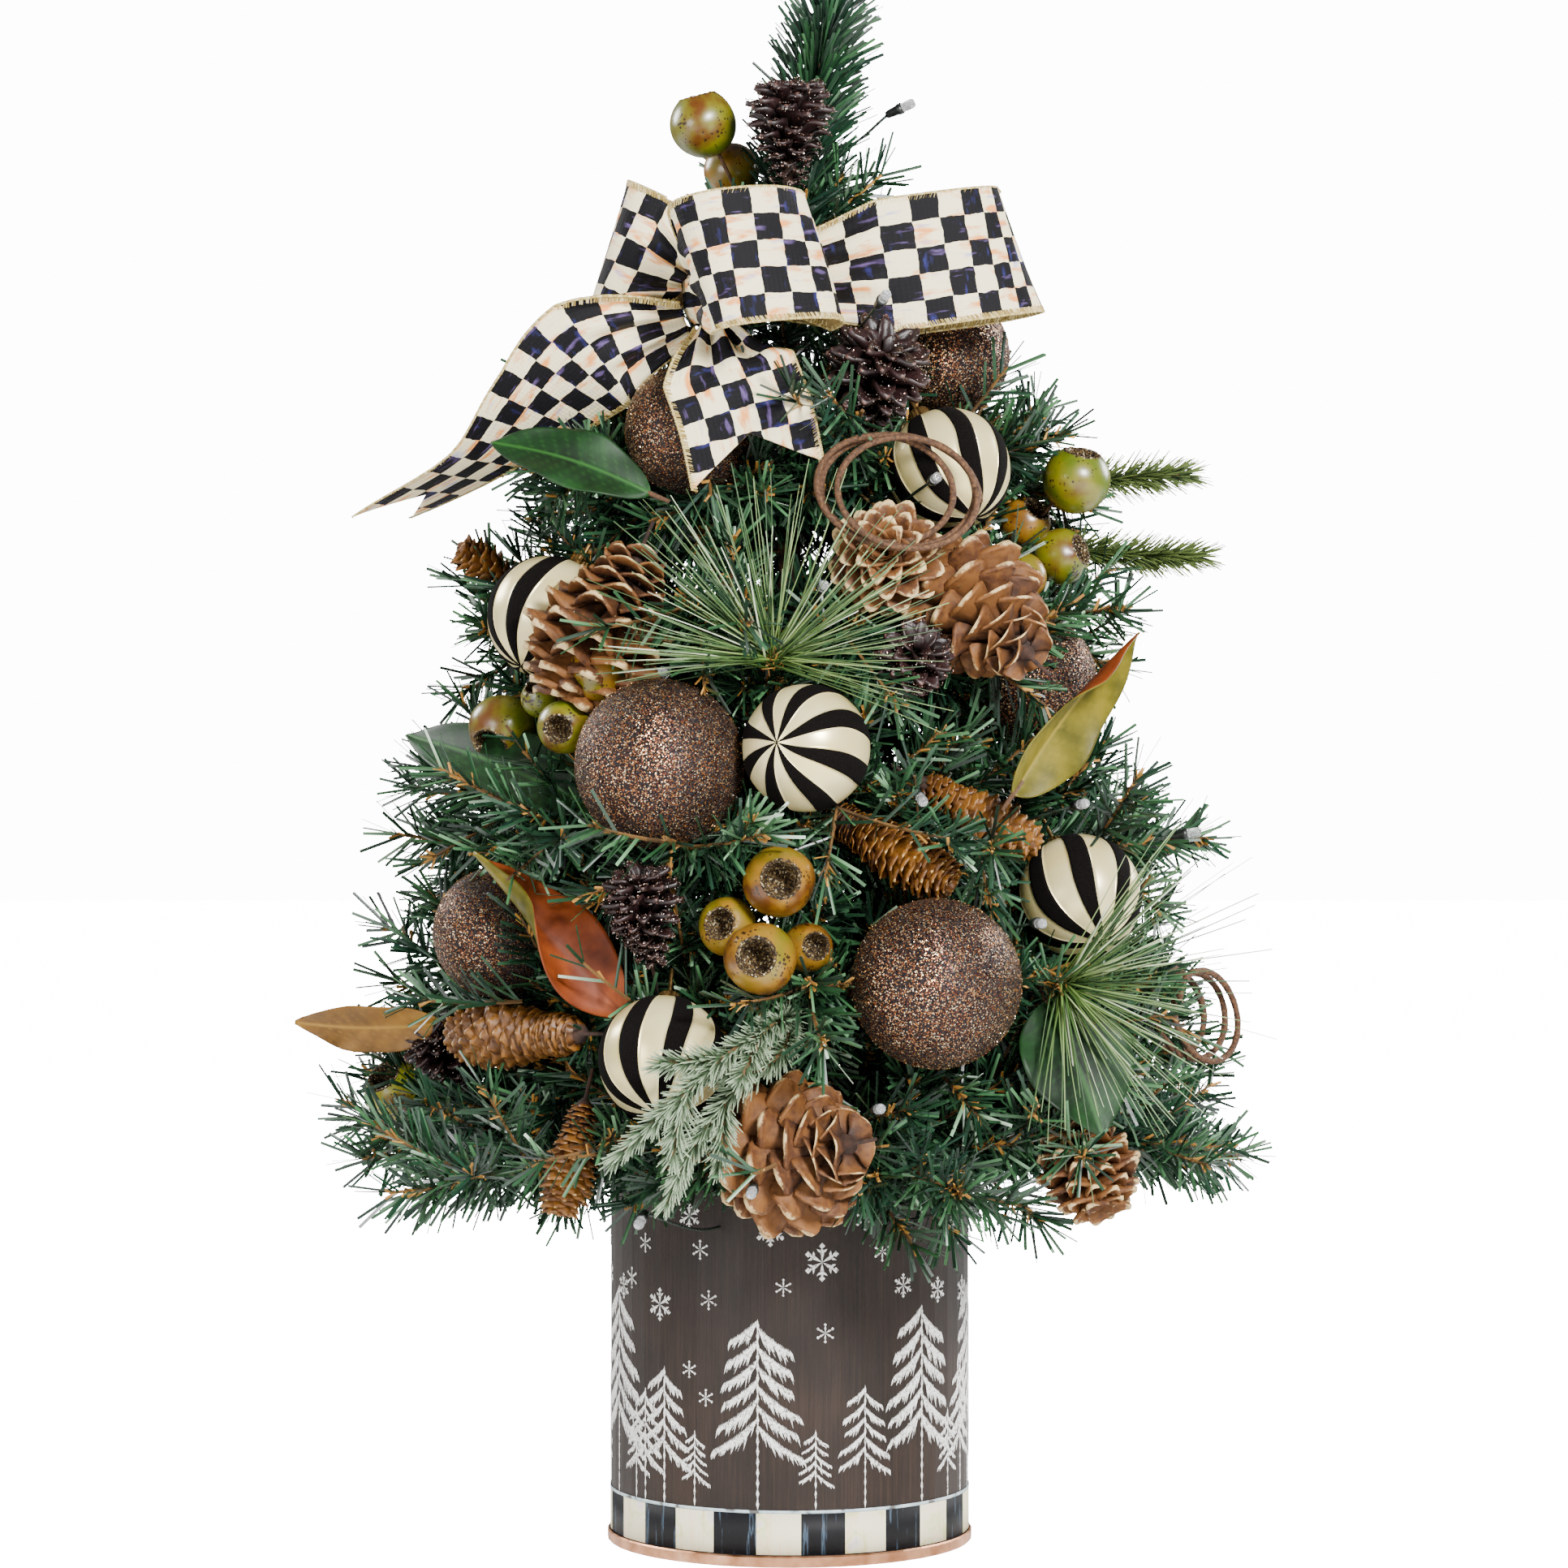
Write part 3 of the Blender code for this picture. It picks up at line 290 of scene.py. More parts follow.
def on_wall(turn, height, tilt, length, width):
    """Where a dab lies: turn is its angle round the pot from the front, tilt its slant, both in radians."""
    face_out = Matrix.Rotation(turn, 4, "Z")
    spot = Matrix.Translation((0.0, -POT_RADIUS, height))
    slant = Matrix.Rotation(-tilt, 4, "Y")
    return face_out @ spot @ slant @ Matrix.Diagonal((length, DAB, width, 1.0))


def paint_fir(bm, stroke, chance, turn, foot, tall):
    """A fir: a bare trunk below, then drooping boughs, each a line on top with a ragged fringe of dabs."""
    trunk = 0.0011 if tall < 0.06 else 0.0015
    dabs = max(7, round(tall / 0.0052))
    for number in range(dabs + 1):
        share = number / dabs
        stamp(bm, stroke, on_wall(turn, foot + tall * share * 0.97, math.radians(90), tall / dabs * 1.25,
            trunk))
    boughs = 6 if tall > 0.07 else 5
    for bough in range(boughs):
        for side in (-1, 1):
            share = (bough + (0.35 if side > 0 else 0.0)) / boughs
            root = foot + tall * (1.0 - 0.64 * share)
            reach = tall * (0.165 + 0.095 * share) * chance.uniform(0.9, 1.08)
            deep = tall * 0.165 * chance.uniform(0.9, 1.1)
            count = max(7, round(reach / 0.00078))
            for number in range(count):
                out = (number + 0.5) / count
                drop = reach * (0.98 * out - 0.26 * out * out)
                tooth = 0.45 + 0.55 * ((number * 4 / count) % 1.0)
                for layer in range(2):
                    length = max(deep * (1.0 - 0.55 * out) * tooth * chance.uniform(0.75, 1.1), 0.0016)
                    lean = math.radians(chance.uniform(62, 80))
                    middle = length * (0.5 if layer else 0.34)
                    spot = turn + side * (reach * out + middle * math.cos(lean)) / POT_RADIUS
                    stamp(bm, stroke, on_wall(spot, root - drop - middle * math.sin(lean), -side * lean,
                        length, chance.uniform(0.0007, 0.0011)))


def paint_flake(bm, stroke, turn, height, size):
    """A snowflake: six arms, with side arms on a large one and dots at the ends."""
    arm = size / 2

    def dab(start, angle, share, length, width):
        """A dab with its middle at a share of the arm from the start; length is its own, and its slant."""
        spot = start[0] + math.cos(angle) * arm * share, start[1] + math.sin(angle) * arm * share
        stamp(bm, stroke, on_wall(turn + spot[0] / POT_RADIUS, height + spot[1], length[1], arm * length[0],
            arm * width))

    for step in range(6):
        angle = math.radians(60 * step + 90)
        dab((0.0, 0.0), angle, 0.5, (1.0, angle), 0.22)
        dab((0.0, 0.0), angle, 0.92, (0.36, 0.0), 0.36)
        if size >= 0.011:
            root = (math.cos(angle) * arm * 0.52, math.sin(angle) * arm * 0.52)
            for side in (-1, 1):
                branch = angle + side * math.radians(52)
                dab(root, branch, 0.2, (0.42, branch), 0.15)


# Thick white craft paint, dry-brushed: matt, with the brown showing through where it is thin.
white_paint = mottled("dry_white_paint", 900.0, 5.0, [(0.34, "6F6660"), (0.42, "C9C6C2"), (0.5, "EEEDEA"),
    (0.8, "FAFAF8")], (0.4, 0.0003), Roughness=0.75)

stroke = dab_mesh(4)
chance = random.Random(11)
firs = bmesh.new()
# Angle from the front in degrees and height of each fir; the same wood carries on round the back.
WOOD = [(-70, 0.098), (-57, 0.04), (-52, 0.05), (-43, 0.062), (-31, 0.032), (-10, 0.088), (8, 0.034),
    (24, 0.055), (46, 0.092), (60, 0.038), (70, 0.06)]
for quarter in (0, 150):
    for degrees, tall in WOOD:
        paint_fir(firs, stroke, chance, math.radians(degrees + quarter), BORDER_HIGH + 0.004, tall)
for degrees, tall in ((232, 0.07), (246, 0.04), (258, 0.086), (272, 0.05)):
    paint_fir(firs, stroke, chance, math.radians(degrees), BORDER_HIGH + 0.004, tall)
keep(firs, "painted_firs", white_paint)

flakes = bmesh.new()
# Angle from the front in degrees, height above the table and width of each flake.
SNOW = [(-33, 0.167, 0.012), (-6, 0.161, 0.014), (10, 0.146, 0.017), (-52, 0.152, 0.009), (-29, 0.151, 0.009),
    (-60, 0.134, 0.01), (-45, 0.123, 0.015), (-26, 0.127, 0.009), (-2, 0.134, 0.008), (11, 0.112, 0.009),
    (-33, 0.093, 0.008), (-27, 0.08, 0.008), (54, 0.129, 0.012), (72, 0.126, 0.014), (30, 0.15, 0.009),
    (38, 0.133, 0.011), (24, 0.166, 0.01), (62, 0.158, 0.012), (84, 0.108, 0.009)]
for quarter in (0, 120, 240):
    for degrees, height, size in SNOW:
        if quarter == 0 or abs(degrees) < 60:
            paint_flake(flakes, stroke, math.radians(degrees + quarter), height, size)
keep(flakes, "painted_snowflakes", white_paint)

# ---- plaster, foam and moss
# A poured plaster weight, a floral foam plug over it, and dried moss tucked over the foam up to the rim.
# The moss is curled tufts of short strands.

FOAM_LOW, FOAM_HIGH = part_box("foam_plug")

dress("plaster_weight", mottled("poured_plaster", 70.0, 6.0, [(0.3, "C9C4BA"), (0.7, "E2DED6")],
    (0.5, 0.0005), Roughness=0.9))
moss_green = mottled("dried_moss", 120.0, 6.0, [(0.3, "2A2A14"), (0.5, "4C4D22"), (0.7, "6B6A38")],
    (0.9, 0.002), Roughness=0.95)
dress("foam_plug", moss_green)


def prism(sides, taper, rings=1, bend=0.0):
    """A tapering rod one unit long along +Z and one unit wide, for stamping needles, strands and stems."""
    bm = bmesh.new()
    bmesh.ops.create_cone(bm, cap_ends=True, cap_tris=False, segments=sides, radius1=0.5, radius2=0.5 * taper,
        depth=1.0)
    bmesh.ops.translate(bm, verts=bm.verts, vec=(0.0, 0.0, 0.5))
    if rings > 1:
        upright = [edge for edge in bm.edges if abs(edge.verts[0].co.z - edge.verts[1].co.z) > 0.5]
        bmesh.ops.subdivide_edges(bm, edges=upright, cuts=rings - 1, use_grid_fill=False)
        for vert in bm.verts:
            vert.co.y += bend * vert.co.z ** 2
    return mesh_of(bm, "prism")


def frames_along(origins, directions, lengths, widths, depths, rolls):
    """Placing matrices (N, 3, 4): +Z of the stamped shape goes along each direction, turned by its roll.
    Lengths, widths, depths and rolls are one number for all, or one for each."""
    along = directions / np.linalg.norm(directions, axis=1, keepdims=True)
    helper = np.where(np.abs(along[:, 2:3]) < 0.9, np.array([[0.0, 0.0, 1.0]]), np.array([[1.0, 0.0, 0.0]]))
    side = np.cross(helper, along)
    side /= np.linalg.norm(side, axis=1, keepdims=True)
    over = np.cross(along, side)
    rolls = np.reshape(rolls, (-1, 1))
    turned = side * np.cos(rolls) + over * np.sin(rolls)
    over = np.cross(along, turned)
    return np.stack([turned * np.reshape(widths, (-1, 1)), over * np.reshape(depths, (-1, 1)),
        along * np.reshape(lengths, (-1, 1)), origins], axis=2)


def values_of(items, key, kind=float, width=1):
    """One property of all the items as an array."""
    values = np.empty(len(items) * width, kind)
    items.foreach_get(key, values)
    return values


def planted(name, template, frames, *materials, tones=None, body="tree", smooth=False):
    """One piece made of copies of the template mesh, one for each placing matrix, each with its own tone.
    The attribute height gives how far along its copy a point lies."""
    count = len(frames)
    corners = values_of(template.vertices, "co", width=3).reshape(-1, 3)
    points = np.einsum("nij,vj->nvi", frames[:, :, :3], corners) + frames[:, None, :, 3]
    loops = values_of(template.loops, "vertex_index", int)
    starts = values_of(template.polygons, "loop_start", int)
    indices = values_of(template.polygons, "material_index", int)
    mesh = bpy.data.meshes.new(name)
    steps = np.arange(count)[:, None]
    for items, key, values in ((mesh.vertices, "co", points),
            (mesh.loops, "vertex_index", loops[None] + steps * len(corners)),
            (mesh.polygons, "loop_start", starts[None] + steps * len(loops))):
        items.add(values.shape[0] * values.shape[1])
        items.foreach_set(key, values.ravel())
    mesh.update(calc_edges=True)
    mesh.polygons.foreach_set("material_index", np.tile(indices, count))
    mesh.polygons.foreach_set("use_smooth", np.full(count * len(starts), smooth))
    shades = {"height": np.tile(corners[:, 2], count)}
    if tones is not None:
        shades["tone"] = np.repeat(tones, len(corners))
    for source in template.attributes:
        if source.data_type == "FLOAT" and source.domain == "POINT":
            shades[source.name] = np.tile(values_of(source.data, "value", np.float32), count)
    for key, values in shades.items():
        mesh.attributes.new(key, "FLOAT", "POINT").data.foreach_set("value", values.astype(np.float32))
    for made in materials:
        mesh.materials.append(made)
    return fixed(name, mesh, body)


rolls = np.random.default_rng(4)
count = 2600
reach = (FOAM_HIGH.x - 0.003) * np.sqrt(rolls.uniform(0.02, 1.0, count))
turn = rolls.uniform(0, 2 * math.pi, count)
level = FOAM_HIGH.z - 0.002 - np.clip(reach - (FOAM_HIGH.x - 0.006), 0, None)
roots = np.stack([reach * np.cos(turn), reach * np.sin(turn), level], axis=1)
lean = np.stack([rolls.normal(0, 1, count), rolls.normal(0, 1, count), rolls.uniform(0.1, 1.1, count)],
    axis=1)
case_low, case_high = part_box("battery_case")
clear = ~((np.abs(roots[:, 0]) < case_high.x + 0.008) & (roots[:, 1] > case_low.y - 0.008))
clear &= reach > 0.01
strands = frames_along(roots, lean, rolls.uniform(0.004, 0.009, count), 0.0011, 0.0008,
    rolls.uniform(0, 6.28, count))[clear]
tuft = planted("moss_tufts", prism(3, 0.4, 3, 0.45), strands, moss_green,
    tones=rolls.uniform(0, 1, clear.sum()))

# ---- trunk
# A steel pole wrapped in brown crepe tape, with a thinner twisted wire at the top that carries the leader.

TRUNK_LOW, TRUNK_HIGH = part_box("trunk_pole")
POLE_RADIUS = 0.0055
LEADER_FOOT = Vector((0.0, 0.0, RIM + 0.44))
LEADER_TIP = Vector((TRUNK_HIGH.x - 0.0042, 0.0, TRUNK_HIGH.z - 0.001))


def wound(name, roughness, per_metre, distortion, direction, shades, relief):
    """A finish of bands that run round or across the piece, raised like the turns of a tape or a twist."""
    made, shader = finish(name, Roughness=roughness)
    bands = add(made, "TexWave", {"Vector": add(made, "TexCoord"), "Scale": per_metre,
        "Distortion": distortion}, bands_direction=direction)
    turns = add(made, "Bump", {"Height": bands, "Strength": relief[0], "Distance": relief[1]})
    feed(made, shader, Base_Color=add(made, "ValToRGB", {"Fac": bands}, stops=shades), Normal=turns)
    return made


bark_tape = wound("crepe_tape", 0.85, 38.0, 2.5, "Z", [(0.0, "2E1D12"), (0.6, "4B321F"), (1.0, "5E4228")],
    (0.5, 0.001))


def skinned(bm, rows, closed=True):
    """Faces between the rows of vertices, and from each row's end to its start where it is closed."""
    count = len(rows[0])
    for before, after in zip(rows, rows[1:]):
        for side in range(count if closed else count - 1):
            beside = (side + 1) % count
            bm.faces.new((before[side], before[beside], after[beside], after[side]))


def rounded(points, radii, sides=10):
    """A bmesh tube along the points with its own radius at each, closed at both ends."""
    bm = bmesh.new()
    points = [Vector(point) for point in points]
    rings = []
    over = None
    for index, point in enumerate(points):
        along = (points[min(index + 1, len(points) - 1)] - points[max(index - 1, 0)]).normalized()
        over = along.orthogonal() if over is None else over - over.project(along)
        over.normalize()
        across = along.cross(over)
        turns = [2 * math.pi * side / sides for side in range(sides)]
        rings.append([bm.verts.new(point + (over * math.cos(turn) + across * math.sin(turn)) * radii[index])
            for turn in turns])
    skinned(bm, rings)
    bm.faces.new(rings[0][::-1])
    bm.faces.new(rings[-1])
    return bm


def smooth_path(points, per_span):
    """Points on a smooth curve (Catmull-Rom) through the given ones."""
    points = [Vector(point) for point in points]
    ends = [2 * points[0] - points[1], *points, 2 * points[-1] - points[-2]]
    route = []
    for index in range(1, len(ends) - 2):
        before, start, end, after = ends[index - 1:index + 3]
        for step in range(per_span):
            t = step / per_span
            curve = (2 * before - 5 * start + 4 * end - after) * t ** 2
            twist = (3 * start - before - 3 * end + after) * t ** 3
            route.append(0.5 * (2 * start + (end - before) * t + curve + twist))
    route.append(points[-1])
    return route


leader_bend = (LEADER_FOOT + LEADER_TIP) / 2 + Vector((-0.004, 0.0, 0.0))
leader_path = smooth_path([LEADER_FOOT, leader_bend, LEADER_TIP], 6)
pole_path = [Vector((0.0, 0.0, TRUNK_LOW.z)).lerp(LEADER_FOOT, step / 40) for step in range(40)]
pole_radii = [POLE_RADIUS * (1.0 if step % 2 else 0.97) for step in range(40)]
leader_radii = [0.003, *[0.0016] * (len(leader_path) - 2), 0.0012]
trunk = keep(rounded(pole_path + leader_path, pole_radii + leader_radii, 16), "trunk", bark_tape, smooth=True)
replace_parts(trunk, "trunk_pole")

# ---- battery case
# A black moulded box for two AA cells at the back of the pot, its lid sliding up in rails, with a slide
# switch on top. The moulding is the CAD's own, with its sharp edges eased.

case_black = mottled("moulded_black", 2600.0, 3.0, [(0.3, "121214"), (0.7, "1E1E21")], (0.25, 0.0002),
    Roughness=0.5)
switch_grey = mottled("moulded_grey", 900.0, 3.0, [(0.3, "4C4D50"), (0.7, "5E5F63")], Roughness=0.4)


def eased(node_name, body, width, made):
    """The CAD piece again with its edges rounded by this width; it stands for the CAD node."""
    bm = bmesh.new()
    bm.from_mesh(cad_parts[node_name].data)
    bmesh.ops.remove_doubles(bm, verts=bm.verts, dist=1e-6)
    bmesh.ops.dissolve_limit(bm, angle_limit=math.radians(2), verts=bm.verts, edges=bm.edges)
    sharp = [edge for edge in bm.edges
        if len(edge.link_faces) == 2 and edge.calc_face_angle() > math.radians(40)]
    bmesh.ops.bevel(bm, geom=sharp, offset=width, segments=2, profile=0.5, affect="EDGES", material=-1,
        clamp_overlap=True)
    piece = fixed(node_name + "_moulding", mesh_of(bm, node_name + "_moulding", made), body)
    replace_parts(piece, node_name)
    return piece


eased("battery_case", "tree", 0.0004, case_black)
eased("battery_lid", "lid", 0.0002, case_black)
eased("power_switch", "switch", 0.0003, switch_grey)

# The two AA cells have a printed sleeve of worn gold foil.
sleeve_print = mottled("cell_sleeve", 300.0, 4.0, [(0.3, "8A6A1E"), (0.7, "B18A2C")], Roughness=0.3,
    Metallic=0.6)
for number in (1, 2):
    dress(f"battery_{number}", sleeve_print)

# ---- light string
# The main lead, dark green vinyl over two twisted cores, wound up the trunk: the CAD's own wire.

lead_green = wound("vinyl_lead", 0.45, 160.0, 1.0, "DIAGONAL", [(0.0, "0D1A12"), (1.0, "1A2C20")],
    (0.6, 0.0005))
dress("light_string", lead_green)

# ---- branches
# Five tiers of wired branches, each a twisted wire with sprigs of flat PVC needles held in the twist.
# Needles stop short of whatever hangs in front of them and keep out of the battery lid's way.

# root height, tip height, reach from the pole, number of branches, first angle in degrees: as in the CAD
TIERS = [
    (0.226, 0.202, 0.214, 15, 4),
    (0.284, 0.274, 0.194, 14, 16),
    (0.354, 0.362, 0.182, 13, 2),
    (0.44, 0.454, 0.156, 11, 20),
    (0.524, 0.542, 0.124, 9, 8),
]
NEEDLE_LENGTH = 0.027
NEEDLE_WIDTH = 0.002
NEEDLE_DEPTH = 0.0004
NEEDLES_PER_METRE = 1100
# root and tip of the sprigs that hang over the pot's rim
HANGING = [(Vector(start), Vector(end)) for start, end in (
    ((0.02, -0.085, 0.208), (0.058, -0.128, 0.158)),
    ((0.05, -0.08, 0.21), (0.086, -0.122, 0.146)), ((0.04, -0.088, 0.204), (0.098, -0.116, 0.172)),
    ((-0.04, -0.085, 0.208), (-0.075, -0.125, 0.176)), ((0.07, -0.07, 0.206), (0.118, -0.104, 0.168)),
    ((-0.07, -0.07, 0.206), (-0.105, -0.108, 0.176)))]
LID_WAY = (Vector((case_low.x - 0.002, case_low.y - 0.001, case_low.z)),
    Vector((case_high.x + 0.002, case_high.y + 0.003, case_high.z + 0.062)))

# PVC film needles: dark to mid green, each its own shade, paler and bluer towards a few tips. The palest,
# near-white shades at the top of both ramps are painted highlight, not the film's own colour.
pvc_green, shader = finish("pvc_needles", Roughness=0.42, Specular_IOR_Level=0.6)
own = add(pvc_green, "Attribute", attribute_name="tone")
high = add(pvc_green, "Attribute", attribute_name="height")
# The pale top stops of the two needle ramps below are painted highlight.
root_tones_and_highlight = add(pvc_green, "ValToRGB", {"Fac": own}, stops=[(0.0, "07140B"), (0.35, "102815"),
    (0.65, "1E3E20"), (0.88, "325C34"), (1.0, "6E9A68")])
tip_tones_and_highlight = add(pvc_green, "ValToRGB", {"Fac": own}, stops=[(0.0, "0A1E12"), (0.35, "15341E"),
    (0.6, "284E2C"), (0.8, "4E7E50"), (0.93, "86B088"), (1.0, "D0E2CC")])
mixed = add(pvc_green, "Mix", {0: high, 6: root_tones_and_highlight, 7: tip_tones_and_highlight})
place = add(pvc_green, "TexCoord")
sheen = add(pvc_green, "TexNoise", {"Vector": place, "Scale": 500.0, "Detail": 2.0})
gloss = add(pvc_green, "MapRange", {"Value": sheen, "To Min": 0.26, "To Max": 0.5})
clump = add(pvc_green, "TexNoise", {"Vector": place, "Scale": 26.0, "Detail": 2.0})
bluer = add(pvc_green, "MapRange", {"Value": clump, "From Min": 0.42, "From Max": 0.68, "To Max": 0.4})
hue = add(pvc_green, "Mix", {0: bluer, 6: mixed, 7: "173C30"})
feed(pvc_green, shader, Base_Color=hue, Roughness=gloss)

# The twisted wire of a sprig shows as golden brown film.
twig_brown = toned("twig_film", [(0.0, "33240F"), (0.5, "6A4A1E"), (0.8, "A8762C"), (1.0, "C99440")],
    Roughness=0.7)

# what needles keep out of, and what most of them are brushed back from
HUNG = ("glitter_ball", "striped_ball", "open_cone", "spruce_cone", "frosted_cone", "pod_pick",
    "magnolia_leaf", "bow_", "battery_", "pot_wall", "foam_plug")
FRONT = ("striped_ball", "open_cone", "spruce_cone", "frosted_cone", "pod_pick", "magnolia_leaf",
    "glitter_ball_1", "glitter_ball_2", "glitter_ball_3", "glitter_ball_4")


def surface_of(starts):
    """A search tree of the CAD nodes whose names start so."""
    together = bmesh.new()
    for node_name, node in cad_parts.items():
        if node_name.startswith(starts):
            together.from_mesh(node.data)
    tree = BVHTree.FromBMesh(together)
    together.free()
    return tree


hung_surface = surface_of(HUNG)
front_surface = surface_of(FRONT)


def inside(point, margin=0.0):
    """Whether the point lies within what hangs on the tree, or nearer than the margin."""
    near, normal, _, distance = hung_surface.find_nearest(point)
    return distance < margin or (point - near).dot(normal) < 0


def in_lid_way(point):
    """Whether the point lies in or close to the space that the battery lid slides through."""
    return all(low - 0.002 < place < high + 0.002 for low, place, high in zip(LID_WAY[0], point, LID_WAY[1]))


def clear_stretch(path):
    """The stretch of a sprig's path that is clear of ornaments, from its root."""
    clear = [path[0]]
    for point in path[1:]:
        if inside(point, 0.002) or in_lid_way(point) or abs(point.x) > 0.235 or abs(point.y) > 0.2:
            break
        clear.append(point)
    return clear


def branch_sprigs(tier, chance):
    """Each branch's main wire and its sprigs, as lists of points."""
    root, tip, reach, count, first = tier
    wires, sprigs = [], []
    for number in range(count):
        angle = math.radians(first + 360 * number / count)
        out = Vector((math.cos(angle), math.sin(angle), 0.0))
        lift = (-0.012, 0.01, 0.0)[number % 3]
        length = reach * (1.0, 0.93, 0.97)[number % 3] - 0.012
        start = Vector((0.0, 0.0, root)) + out * 0.008
        main = []
        for step in range(13):
            share = step / 12
            height = (tip - root + lift) * share - 0.01 * math.sin(math.pi * share)
            main.append(start + out * length * share + Vector((0.0, 0.0, height)))
        if any(in_lid_way(point) for point in main):
            continue
        wires.append(main)
        sprigs.append(main[6:])
        for node, side in ((2, 1), (3, -1), (4, 1), (5, -1), (6, 1), (7, -1), (8, 1), (9, -1), (10, 1),
                (11, -1), (4, 0), (7, 0), (9, 0), (6, 2), (10, 2)):
            share = node / 12
            span = (0.36 * reach * (1.0 - share) + 0.044) * chance.uniform(0.85, 1.1)
            if side in (-1, 1):
                turn, rise = math.radians(side * chance.uniform(32, 58)), chance.uniform(-28, 34)
            else:
                turn = chance.uniform(-0.5, 0.5)
                rise = chance.uniform(35, 62) if side == 0 else chance.uniform(-50, -28)
            if tier is TIERS[0] and rise < -18:
                rise = -18 - (rise + 18) * 0.4
            heading = Matrix.Rotation(turn, 3, "Z") @ out
            climb = math.radians(rise)
            path = []
            for step in range(7):
                along = step / 6
                bow = Vector((0.0, 0.0, 0.1 * span * along * along * (1 if rise > -20 else 0.6)))
                aim = heading * math.cos(climb) + Vector((0.0, 0.0, math.sin(climb)))
                path.append(main[node] + aim * span * along + bow)
            sprigs.append(path)
    return wires, sprigs


def needle_frames(paths, draws, length, density, spread=(38, 66), width=NEEDLE_WIDTH, depth=NEEDLE_DEPTH):
    """Placing matrices and tones of the needles on each path, culled where they would meet something."""
    frames, tones = [], []
    for path in paths:
        points = np.array([list(point) for point in path])
        if len(points) < 2:
            continue
        runs = np.linalg.norm(np.diff(points, axis=0), axis=1)
        total = runs.sum()
        count = int(total * density)
        if count < 4:
            continue
        at = np.sort(draws.uniform(0.0, 1.0, count))
        places = np.concatenate([[0.0], np.cumsum(runs)]) / total
        origins = np.stack([np.interp(at, places, points[:, axis]) for axis in range(3)], axis=1)
        segment = np.clip(np.searchsorted(places, at) - 1, 0, len(runs) - 1)
        along = np.diff(points, axis=0)[segment] / runs[segment][:, None]
        around = draws.uniform(0, 2 * math.pi, count)
        side = np.cross(along, np.array([0.31, 0.22, 0.92]))
        side /= np.linalg.norm(side, axis=1, keepdims=True)
        over = np.cross(along, side)
        opening = np.radians(draws.uniform(*spread, count)) * (1.0 - 0.45 * np.clip((at - 0.8) / 0.2, 0, 1))
        outward = side * np.cos(around)[:, None] + over * np.sin(around)[:, None]
        heading = along * np.cos(opening)[:, None] + outward * np.sin(opening)[:, None]
        lengths = length * draws.uniform(0.78, 1.08, count) * (1.0 - 0.18 * at)
        frames.append(frames_along(origins, heading, lengths, width, depth,
            draws.uniform(0, 2 * math.pi, count)))
        sprig_tone = draws.uniform(-0.12, 0.12)
        tones.append(np.clip(draws.beta(2.0, 2.4, count) + sprig_tone, 0, 1))
    return np.concatenate(frames), np.concatenate(tones)


def culled(frames, tones):
    """Drops or shortens needles that would go through an ornament, the pot or the lid's way, and brushes
    most of them back from in front of the ornaments."""
    keepers = np.ones(len(frames), bool)
    low, high = np.array(LID_WAY[0]), np.array(LID_WAY[1])
    for share in (0.0, 0.5, 1.0):
        spot = frames[:, :, 3] + frames[:, :, 2] * share
        keepers &= ~np.all((spot > low) & (spot < high), axis=1)
        keepers &= (np.abs(spot[:, 0]) < 0.24) & (spot[:, 1] > -0.226) & (spot[:, 1] < 0.198)
    for index in np.flatnonzero(keepers):
        origin = Vector(frames[index, :, 3])
        reach = Vector(frames[index, :, 2])
        span = reach.length
        if origin.y < -0.03 and index % 8 and any(front_surface.ray_cast(origin + reach * share,
                Vector((0.0, 1.0, 0.0)), 0.034)[0] for share in (0.5, 1.0)):
            keepers[index] = False
            continue
        hit = hung_surface.ray_cast(origin, reach / span, span + 0.0008)
        if hit[0] is None:
            continue
        if hit[3] < 0.45 * span or hit[1].dot(reach) > 0:
            keepers[index] = False
        else:
            frames[index, :, 2] *= (hit[3] - 0.0008) / span
    return frames[keepers], tones[keepers]


def stems(paths, radius):
    """Placing matrices for the wire of each path, a rod for each run."""
    origins, runs, radii = [], [], []
    for path in paths:
        for number, (start, end) in enumerate(zip(path, path[1:])):
            origins.append(list(start))
            runs.append(list((end - start) * 1.04))
            radii.append(radius * (1.0 - 0.35 * number / len(path)))
    runs = np.array(runs)
    lengths = np.linalg.norm(runs, axis=1)
    widths = np.array(radii) * 2
    return frames_along(np.array(origins), runs, lengths, widths, widths, 0.0)


